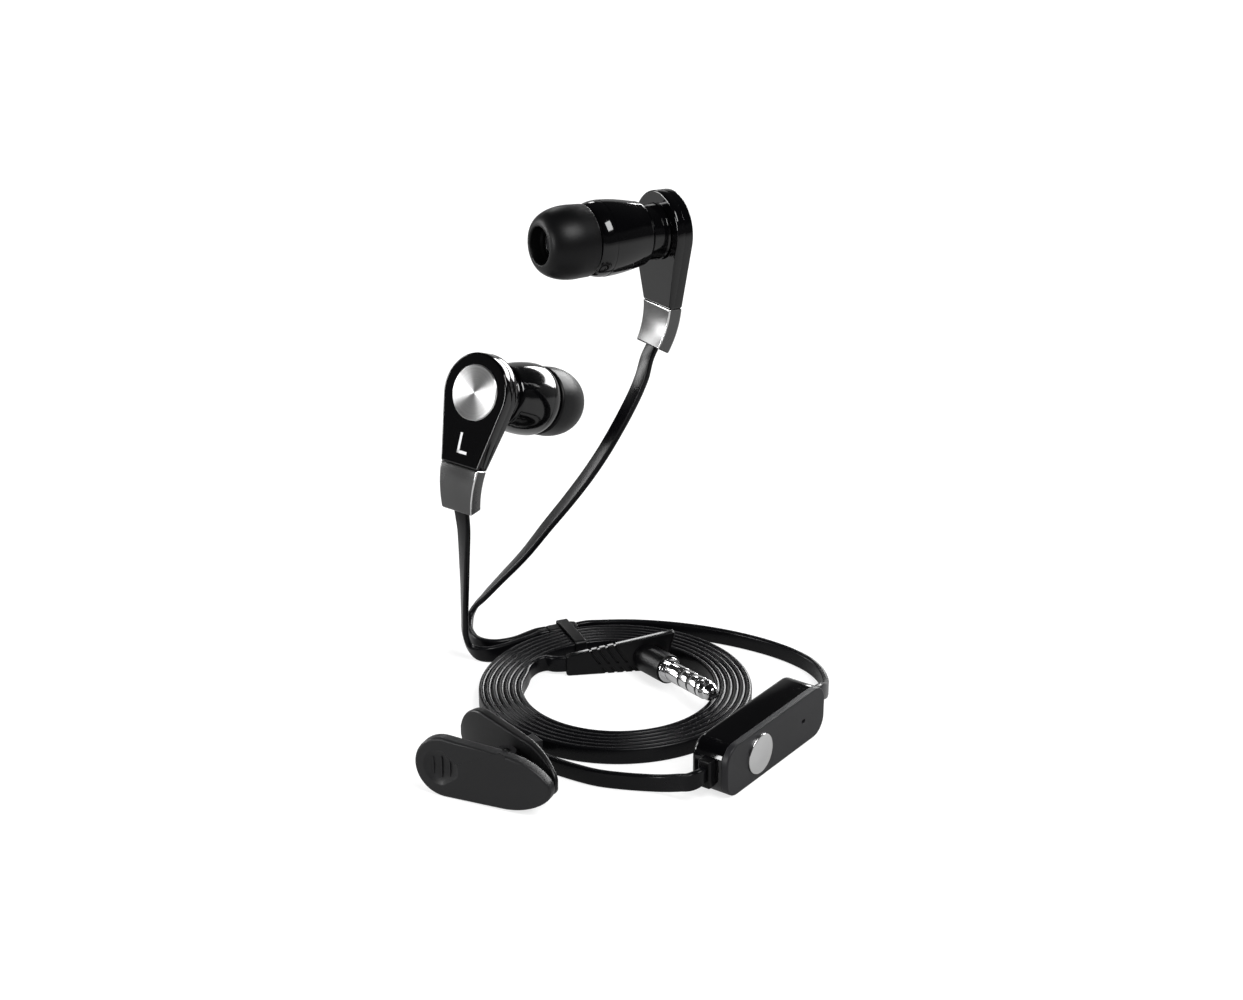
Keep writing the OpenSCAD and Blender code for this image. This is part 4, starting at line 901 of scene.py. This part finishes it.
def ear_tip():
    """The tip: a quarter ellipse from mouth to rim, then back inside, a skin's thickness smaller,
    to the sleeve round the nozzle."""
    dome = TIP_L * 0.66
    r, y = TIP_MOUTH_R + 0.3, TIP_Y + TIP_L - dome
    a, b = np.radians(np.linspace(84, 0, 22)), np.radians(np.linspace(0, 74, 12))
    outer = np.column_stack([r + (TIP_R - r) * np.cos(a), y + (dome - 0.05) * np.sin(a)])
    inner = np.column_stack([
        r + (TIP_R - TIP_SKIN - r) * np.cos(b), y + (dome - 0.6 - TIP_SKIN) * np.sin(b)])
    mouth = rounded(
        [[3.0, TIP_Y + 0.5], [3.0, TIP_Y + 6.2], [TIP_MOUTH_R, TIP_Y + 6.6],
            [TIP_MOUTH_R, TIP_Y + TIP_L], outer[0]],
        [0, 0.1, 0.1, 0.28, 0], 5, closed=False)
    rim = rounded(
        [outer[-1], [TIP_R - 0.12, TIP_Y + 0.25], [TIP_R - 0.35, TIP_Y], [TIP_R - 0.9, TIP_Y],
            [TIP_R - 0.6, TIP_Y + 0.6], inner[0]],
        [0, 0.5, 0.15, 0.15, 0.2, 0], 4, closed=False)
    sleeve = [[3.7, TIP_Y + 5.5], [3.7, TIP_Y + 0.5]]
    return lathed(np.concatenate([mouth, outer[1:], rim[1:], inner[1:], sleeve]))


def collar_ring(angle, shrink, wall=0.0):
    """Ring of the collar at an angle of its bend: it narrows evenly in Z towards the cord."""
    along = np.sin(angle) / np.sin(COLLAR_ANGLE)
    half = STEM_HALF + (COLLAR_LOW_HALF - STEM_HALF) * along - shrink - wall
    t = COLLAR_T / 2 - shrink - wall
    ring = rounded(corners((-half, -t), (half, t)), 0.15 if wall else 0.22, 4)
    y, z = on_bend(angle, ring[:, 1])
    return np.column_stack([ring[:, 0], y, z])


def collar():
    """The collar along its bend, open at its lower mouth: its shape, its map and its bright faces,
    which are its top edge and its four long edges, each ring's corner arcs."""
    low = COLLAR_ANGLE
    ends = ((0.002, 0.3), (0.002, 0.13), (0.009, 0.03), (0.014, 0))
    mouth = (
        (0.014, 0), (0.006, 0.05), (0, 0.12), (0, 0.12, 0.27), (0.01, 0.1, 0.32),
        (0.16, 0.1, 0.32))
    rings = [collar_ring(*end) for end in ends]
    rings += [collar_ring(a, 0) for a in np.linspace(0.03, low - 0.02, 22)]
    rings += [collar_ring(low - back, *rest) for back, *rest in mouth]
    m, n = len(rings), len(rings[0])
    uv = np.column_stack([np.tile(np.arange(n) * 0.4, m), np.repeat(np.arange(m) * 0.35, n)])
    bright = np.zeros((m - 1, n), bool)
    bright[1:3] = True
    bright[1:-4, np.arange(n) % 5 != 4] = True
    return loft(rings), uv, bright


def earpiece(side, place):
    """One earpiece, from the plate's face to the ear tip, and its collar."""

    def part(name, node, shape, material, slot, **more):
        """One piece on this side, for the node of the same side."""
        return piece(f"{side}_{name}", shape, place, material, slot, f"{side}_{node}", **more)

    disc_shape, disc_map = disc()
    collar_shape, collar_map, bright = collar()
    part("plate_front", "outer_shell", plate_front(), polished_abs, "plate_black")
    part("plate_back", "inner_shell", plate_back(), polished_abs, "plate_black")
    part("spun_disc", "disc", disc_shape, spun, "disc_aluminium", uv=disc_map, smooth=20)
    part("printed_mark", "side_mark", mark(side), ink, "mark_white")
    part("barrel_neck", "neck", neck(), barrel_abs, "barrel_black")
    part("barrel_rear", "rear_barrel", rear_barrel(), barrel_abs, "barrel_black", smooth=35)
    part("barrel_front", "front_barrel", front_barrel(), barrel_abs, "barrel_black", smooth=35)
    part("silicone_tip", "ear_tip", ear_tip(), silicone, "tip_silicone",
        body=f"{side}_tip", smooth=40)
    strap = part("alu_collar", "collar", collar_shape, collar_alu, "collar_aluminium",
        uv=collar_map, smooth=25)
    trim(strap, cut_alu, bright)


earpiece("left", LEFT)
earpiece("right", RIGHT)


# ---------------------------------------------------------------- remote


def holed_half(outline, side, x, r, y_back):
    """Half of the remote's face, from the split to one end, with a hole at x: front, hole wall and
    back are rings of points on rays from the hole's centre to the half's edge. The long sides have
    no points between their ends, so the hole is cut straight above and below."""
    low, high = sorted(outline[np.isclose(outline[:, 0], FRONT_SPLIT)], key=lambda p: p[1])
    keep = outline[(outline[:, 0] - FRONT_SPLIT) * side > 1e-6]
    keep = keep[np.argsort(np.arctan2(keep[:, 1] - REMOTE_MID, (keep[:, 0] - x) * side))]
    split = np.linspace(0, 1, 14)[:, None]
    edge = np.concatenate([keep, high * (1 - split) + low * split])
    hole = ((r + 0.12, 0), (r + 0.04, 0), (r, 0.05), (r, y_back))
    rings = [
        at_y(edge, 0), *(ring_round(edge, np.array([x, REMOTE_MID]), *wall) for wall in hole),
        at_y(edge, y_back)]
    return np.concatenate(rings), grid_faces(len(rings), len(edge))


remote_half = np.array([REMOTE_L, REMOTE_H]) / 2
shell_outline = rounded(corners(-remote_half, remote_half), REMOTE_CORNER, 10) + [0, REMOTE_MID]
# the front's outline has a point more at each end of its split, after the first and third corners
first, third = 11, 33
plate_outline = np.concatenate([
    shell_outline[:first], [[FRONT_SPLIT, 0]], shell_outline[first:third],
    [[FRONT_SPLIT, REMOTE_H]], shell_outline[third:]])
plate_side = [(REMOTE_EDGE * s, REMOTE_EDGE * c) for s, c in quarter(5)]
plate_side += [(0, FRONT_T - 0.1), (0.08, FRONT_T - 0.01)]
plate_side = [at_y(inset(plate_outline, d), y) for d, y in plate_side]
plate_face = inset(plate_outline, REMOTE_EDGE)
remote_front = merged(
    (np.concatenate(plate_side), grid_faces(len(plate_side), len(plate_outline))),
    holed_half(plate_face, -1, BUTTON_X, BUTTON_R + BUTTON_GAP, FRONT_T - 0.01),
    holed_half(plate_face, 1, MIC_X, MIC_R, FRONT_T - 0.01))
piece("remote_front_cover", remote_front, REMOTE, remote_paint, "remote_satin",
    "remote_front_plate")

# the shell is hollow 1 mm inside its outline, and its rear edge has a radius of 0.9 mm
shell_walls = [
    (1, REMOTE_D - 1), (1, FRONT_T + 0.02), (0.1, FRONT_T + 0.02), (0.02, FRONT_T + 0.1),
    (0, FRONT_T + 0.25), *((0.9 * c, REMOTE_D - 0.9 * s) for s, c in quarter(5)), (1.05, REMOTE_D)]
piece("remote_back_shell", loft([at_y(inset(shell_outline, d), y) for d, y in shell_walls]),
    REMOTE, polished_abs, "remote_gloss", "remote_rear_shell")

# the button: a dished cap, the tab that holds it in and the stem that presses the switch
a = np.linspace(0, 1, 12)
dish = np.column_stack([ON_AXIS + (BUTTON_R - 0.3) * a, -0.7 + 0.3 * a**2])
cap = rounded([dish[-1], [BUTTON_R, -0.28], [BUTTON_R, FRONT_T + 0.05], [ON_AXIS, FRONT_T + 0.05]],
    [0, 0.18, 0, 0], 5, closed=False)
tab = soft_block([-3.9, FRONT_T + 0.04, -3.1], [3.9, FRONT_T + 0.55, 3.1], 0.1)
stem = lathed([[ON_AXIS, 1.7], [1, 1.7], [1, 2.35], [ON_AXIS, 2.35]], 32)
button = merged(lathed(np.concatenate([dish, cap[1:]])), tab, stem)
piece("remote_button_cap", moved(button, [BUTTON_X, 0, REMOTE_MID]), REMOTE, button_metal,
    "button_silver", "remote_button", body="button")

gland_mid = np.array([REMOTE_D / 2, REMOTE_MID])
gland_outline = rounded(corners(gland_mid - GLAND_HALF, gland_mid + GLAND_HALF), 0.35, 4)
for side, name in ((-1, "left"), (1, "right")):
    rings = [np.column_stack([side * (REMOTE_L / 2 + r[:, 1]), r[:, 0], r[:, 2]])
        for r in edge_rings(gland_outline, 0, GLAND_L, 0.02, 0.3)]
    piece(f"remote_{name}_strain_relief", loft(rings), REMOTE, moulded_tpe, "cord_black",
        f"remote_{name}_gland")


# ---------------------------------------------------------------- clip


def belted(*circles):
    """Outline of a belt round circles in a row, each a centre and a radius: an arc of each circle
    between the normals of the tangents to its two neighbours, down one side and back the other."""
    tops, lows = [], []
    for (c0, r0), (c1, r1) in zip(circles, circles[1:]):
        slope = np.arctan2(c1[1] - c0[1], c1[0] - c0[0])
        turn = np.arccos((r0 - r1) / np.hypot(*(c1 - c0)))
        tops.append(slope + turn)
        lows.append(slope - turn)
    spans = [
        (circles[0], tops[0], lows[0] + TAU, 41),
        *((circle, a, b, 5) for circle, a, b in zip(circles[1:-1], lows, lows[1:])),
        (circles[-1], lows[-1], tops[-1], 25),
        *((circle, a, b, 5) for circle, a, b in zip(circles[-2:0:-1], tops[:0:-1], tops[-2::-1]))]
    return np.concatenate([
        centre + r * on_circle(np.linspace(a, b, n)) for (centre, r), a, b, n in spans])


past = np.linspace(0, NOSE[0] - BELLY[0], 10)
paddle = belted(
    (HANDLE, HANDLE_R), *((BELLY + [x, 0], BELLY_R - BELLY_FALL * x * x) for x in past))
dimple = [(0.02, 0.62), (1.3, 0.58), (2.2, 0.44), (2.75, 0.24), (3.05, 0.07), (3.2, 0), (3.3, 0)]
front_rings = [ring_round(paddle, DIMPLE, r, PADDLE_FRONT + depth) for r, depth in dimple]
front_rings += edge_rings(paddle, PADDLE_FRONT, PADDLE_BACK, 0.45, 0.3, steps=6)
ribs = []
for x in (-1.5, 0.0, 1.5):
    half = 1.85 - 0.25 * abs(x)
    line = np.column_stack([np.full(15, DIMPLE[0] + x), DIMPLE[1] + np.linspace(-half, half, 15)])
    ribs.append(strip(at_y(line, PADDLE_FRONT + 0.55), np.array([1, 0, 0]), 0.24, 0.5, 0.1)[0])


def lug(z, toward):
    """A hinge ear: a tab with a round end about the pin, bored for it, from the pin to toward. The
    bore has a point for each of the outline's, so it has only three flat sides past the pin."""
    end = LUG_R * on_circle(np.linspace(0, np.pi, 17) + (0 if toward < 0 else np.pi))
    outline = np.concatenate([end, [[end[-1][0], toward], [end[0][0], toward]]])
    hole = PIN_BORE_R * on_circle(np.arctan2(outline[:, 1], outline[:, 0]))
    return loft([at_z(outline, z), at_z(outline, z + LUG_T), at_z(hole, z + LUG_T), at_z(hole, z)],
        joined=True)


paddle_root = PADDLE_BACK - 0.02
pad = soft_block([5.6, paddle_root, 3.1], [8.6, -2.53, 7.1], 0.12)
front_lugs = [lug(z, paddle_root) for z in LUGS_FRONT]
front = merged(loft(front_rings), *ribs, *front_lugs, pad)
piece("clip_front_lever", front, CLIP, clip_abs, "clip_satin", "clip_front_paddle",
    body="clip_front")


def height_span(u):
    """Lowest and highest Z of the paddle's outline at each u along it, read between its points."""
    first, last = np.argmin(paddle[:, 0]), np.argmax(paddle[:, 0])
    low = paddle[first : last + 1]
    high = np.roll(paddle, -last, 0)[: len(paddle) - last + first + 1][::-1]
    return np.interp(u, low[:, 0], low[:, 1]), np.interp(u, high[:, 0], high[:, 1])


def rear_lever():
    """The rear lever: a straight handle, then an arm that arches by a parabola and thins as it
    comes down to the jaw. Each section is a rounded bar, as tall as the outline there."""
    start, end = np.array([0, 2.2]), np.array([10.0, -2.5])
    handle = start + on_circle(np.radians([156])) * np.linspace(14.1, 0.8, 40)[:, None]
    s = np.linspace(0.06, 1, 30)[:, None]
    arm = start + (end - start) * s + np.array([0.28, 0.72]) * 0.3 * 4 * s * (1 - s)
    line = smooth_path(at_z(np.concatenate([handle, arm]), 0), 0.35)[0][:, :2]
    normal = leftward(tangents(line))
    thick = np.interp(line[:, 0], [-13, 0, 9.4, 9.8, 10.0], [1.84, 1.9, 0.94, 0.8, 0.5])
    u = line[:, 0] * np.cos(LEVER_TURN) - line[:, 1] * np.sin(LEVER_TURN)
    inside = (u > HANDLE[0] - HANDLE_R + 0.02) & (u < NOSE[0] + NOSE_R - 0.02)
    rings = []
    along = (v[inside] for v in (line, normal, thick, *height_span(u)))
    for p, across, t, low, high in zip(*along):
        half = max((high - low) / 2, 0.3)
        ring = rounded(corners((0, -half), (t, half)), min(0.45, 0.45 * half), 4)
        rings.append(at_z(p + across * ring[:, :1], (high + low) / 2 + ring[:, 1]))
    return loft(rings)


# the rear lever's hook holds the cord, in line with it, on an arm from the lever
hook_at = CLIP[0].T @ (np.array(FRONT_BY_HAND[-1]) - CLIP[1])
hook_way = CLIP[0].T @ np.subtract(PAST_HOOK, FRONT_BY_HAND[-2])
hook_turn = turned((0, 0, np.degrees(np.arctan2(hook_way[1], hook_way[0]))))
hook = merged(*(soft_block(low, high, 0.2) for low, high in (
    ([-1.5, -1.7, 0.12], [1.5, -0.82, 3.6]), ([-1.5, 0.82, 0.12], [1.5, 1.7, 3.6]),
    ([-1.5, -1.7, 3.27], [1.5, 1.7, 4.15]))))
hook_arm = soft_block([hook_at[0] - 0.9, 4.2, 0.8], [hook_at[0] + 0.9, hook_at[1] - 1.2, 2.8], 0.3)
rear = merged(rear_lever(), *(lug(z, 2.8) for z in LUGS_REAR), hook_arm,
    moved(hook, [hook_at[0], hook_at[1], 0], hook_turn))
# the rear lever's darker colour is painted shade
piece("clip_rear_lever", rear, CLIP, shaded_lever_abs, "clip_satin", "clip_rear_paddle")

# the spring: turns round the pin from 250 degrees on, and a leg off each end along its lever
turns = np.linspace(0, SPRING_TURNS, 90)
spring_z = PIN_Z + PIN_L / 2 - SPRING_TURNS * SPRING_PITCH / 2
helix = at_z(SPRING_R * on_circle(np.radians(250) + turns * TAU), spring_z + SPRING_PITCH * turns)
front_leg = np.array([[-4.2, 0.2, 0], [-2.1, 0.1, 0]])
rear_leg = np.array([[-2.4, 0.8, 0], [-4.8, 1.7, 0]])
wire = smooth_path(np.concatenate([helix[0] + front_leg, helix, helix[-1] + rear_leg]), 0.12)[0]
spring, spring_map = strip(wire, UP, SPRING_WIRE, SPRING_WIRE, 0.19, 3)
piece("clip_torsion_spring", spring, CLIP, spring_steel, "clip_steel", "clip_spring",
    uv=spring_map, smooth=60)


# ---------------------------------------------------------------- CAD pieces kept as they are

kept = {
    "remote_circuit_board": solder_mask, "remote_switch": stamped_steel,
    "remote_microphone": stamped_steel, "clip_hinge_pin": spring_steel, "jack_core": turned_brass}
for side in ("left", "right"):
    kept.update({
        f"{side}_driver_frame": stamped_steel, f"{side}_magnet": nickel, f"{side}_diaphragm": film,
        f"{side}_mesh": gauze, f"{side}_cord_anchor": moulded_tpe})
for name, material in kept.items():
    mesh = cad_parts[name].data
    mesh.materials.clear()
    mesh.materials.append(material)


# ---------------------------------------------------------------- room and light

WHITE = (1, 1, 1, 1)


def lamp(name, place, aim, size, watts):
    """A soft rectangular white lamp aimed at a point, in metres."""
    data = bpy.data.lights.new(name, "AREA")
    data.shape = "RECTANGLE"
    data.size, data.size_y = size
    data.energy = watts
    made = put(name, data)
    made.location = place
    x, y, z = np.subtract(place, aim)
    made.rotation_euler = (np.arctan2(np.hypot(x, y), z), 0, np.arctan2(x, -y))


def seen_in(tree, path):
    """1 to the camera and through glass, 0 on all other light paths."""
    return add(tree, "Math", {"operation": "MAXIMUM"},
        {0: path["Is Camera Ray"], 1: path["Is Transmission Ray"]})[0]


def floor_finish():
    """White sweep. Its own diffuse grey takes the shadow, and to the camera, in reflections and
    through glass a light of its own lifts it to the white of paper."""
    made = bpy.data.materials.new("white_paper_sweep")
    tree = cleared(made)
    path = add(tree, "LightPath")
    mirrored = add(tree, "Math", {"operation": "MULTIPLY", 1: 0.16}, {0: path["Is Glossy Ray"]})
    strength = add(tree, "Math", {"operation": "MULTIPLY_ADD", 1: 0.72},
        {0: seen_in(tree, path), 2: mirrored[0]})
    diffuse = add(tree, "BsdfDiffuse", {"Color": linear("#a0a0a0")})
    glow = add(tree, "Emission", {"Color": WHITE}, {"Strength": strength[0]})
    both = add(tree, "AddShader", (), {0: diffuse[0], 1: glow[0]})
    add(tree, "OutputMaterial", (), {"Surface": both[0]})
    return made


def room():
    """The studio round the object. It lights evenly from all sides, is white to the camera, and in
    reflections it is a wall behind and beside the object that darkens overhead and in front."""
    world = bpy.data.worlds.new("room")
    bpy.context.scene.world = world
    tree = cleared(world)
    path = add(tree, "LightPath")
    way = add(tree, "SeparateXYZ", (), {0: add(tree, "TexCoord")["Generated"]})
    high = add(tree, "MapRange",
        {"From Min": 0.3, "From Max": 0.4, "To Min": 1.0, "To Max": 0.06}, {"Value": way[2]})
    behind = add(tree, "MapRange",
        {"From Min": 0.0, "From Max": 0.5, "To Min": 0.06, "To Max": 0.4}, {"Value": way[1]})
    wall = add(tree, "Math", {"operation": "MULTIPLY"}, {0: high[0], 1: behind[0]})
    glossy = add(tree, "Background", {"Color": WHITE}, {"Strength": wall[0]})
    plain = add(tree, "Background", {"Color": WHITE, "Strength": 0.4})
    white = add(tree, "Background", {"Color": WHITE, "Strength": 1.0})
    lit = add(tree, "MixShader", (), {0: path["Is Glossy Ray"], 1: plain[0], 2: glossy[0]})
    mixed = add(tree, "MixShader", (), {0: seen_in(tree, path), 1: lit[0], 2: white[0]})
    add(tree, "OutputWorld", (), {"Surface": mixed[0]})


floor_mesh = bpy.data.meshes.new("floor")
floor_mesh.from_pydata([(x, y, 0) for x, y in corners((-6, -6), (6, 6))], [], [(0, 1, 2, 3)])
floor_mesh.materials.append(floor_finish())
put("floor", floor_mesh)
room()
lamp("key_softbox", (0.28, -0.3, 0.55), (0, 0, 0.03), (0.3, 0.3), 3.6)
lamp("back_right_softbox", (0.53, 0.73, 0.33), (0, 0, 0.05), (0.8, 0.2), 9.0)
lamp("plug_strip", (-0.165, 0.85, 0.455), (0, 0, 0.01), (0.12, 0.12), 0.36)
lamp("left_back_softbox", (-0.72, 0.33, 0.3), (0, 0, 0.05), (0.22, 0.25), 1.6)
lamp("left_low_softbox", (-0.757, 0.166, 0.12), (-0.026, 0.016, 0.053), (0.2, 0.14), 1.7)
lamp("left_front_strip", (-0.62, -0.45, 0.24), (-0.02, 0.01, 0.05), (0.12, 0.3), 2.5)

bpy.context.scene.view_settings.view_transform = "Standard"
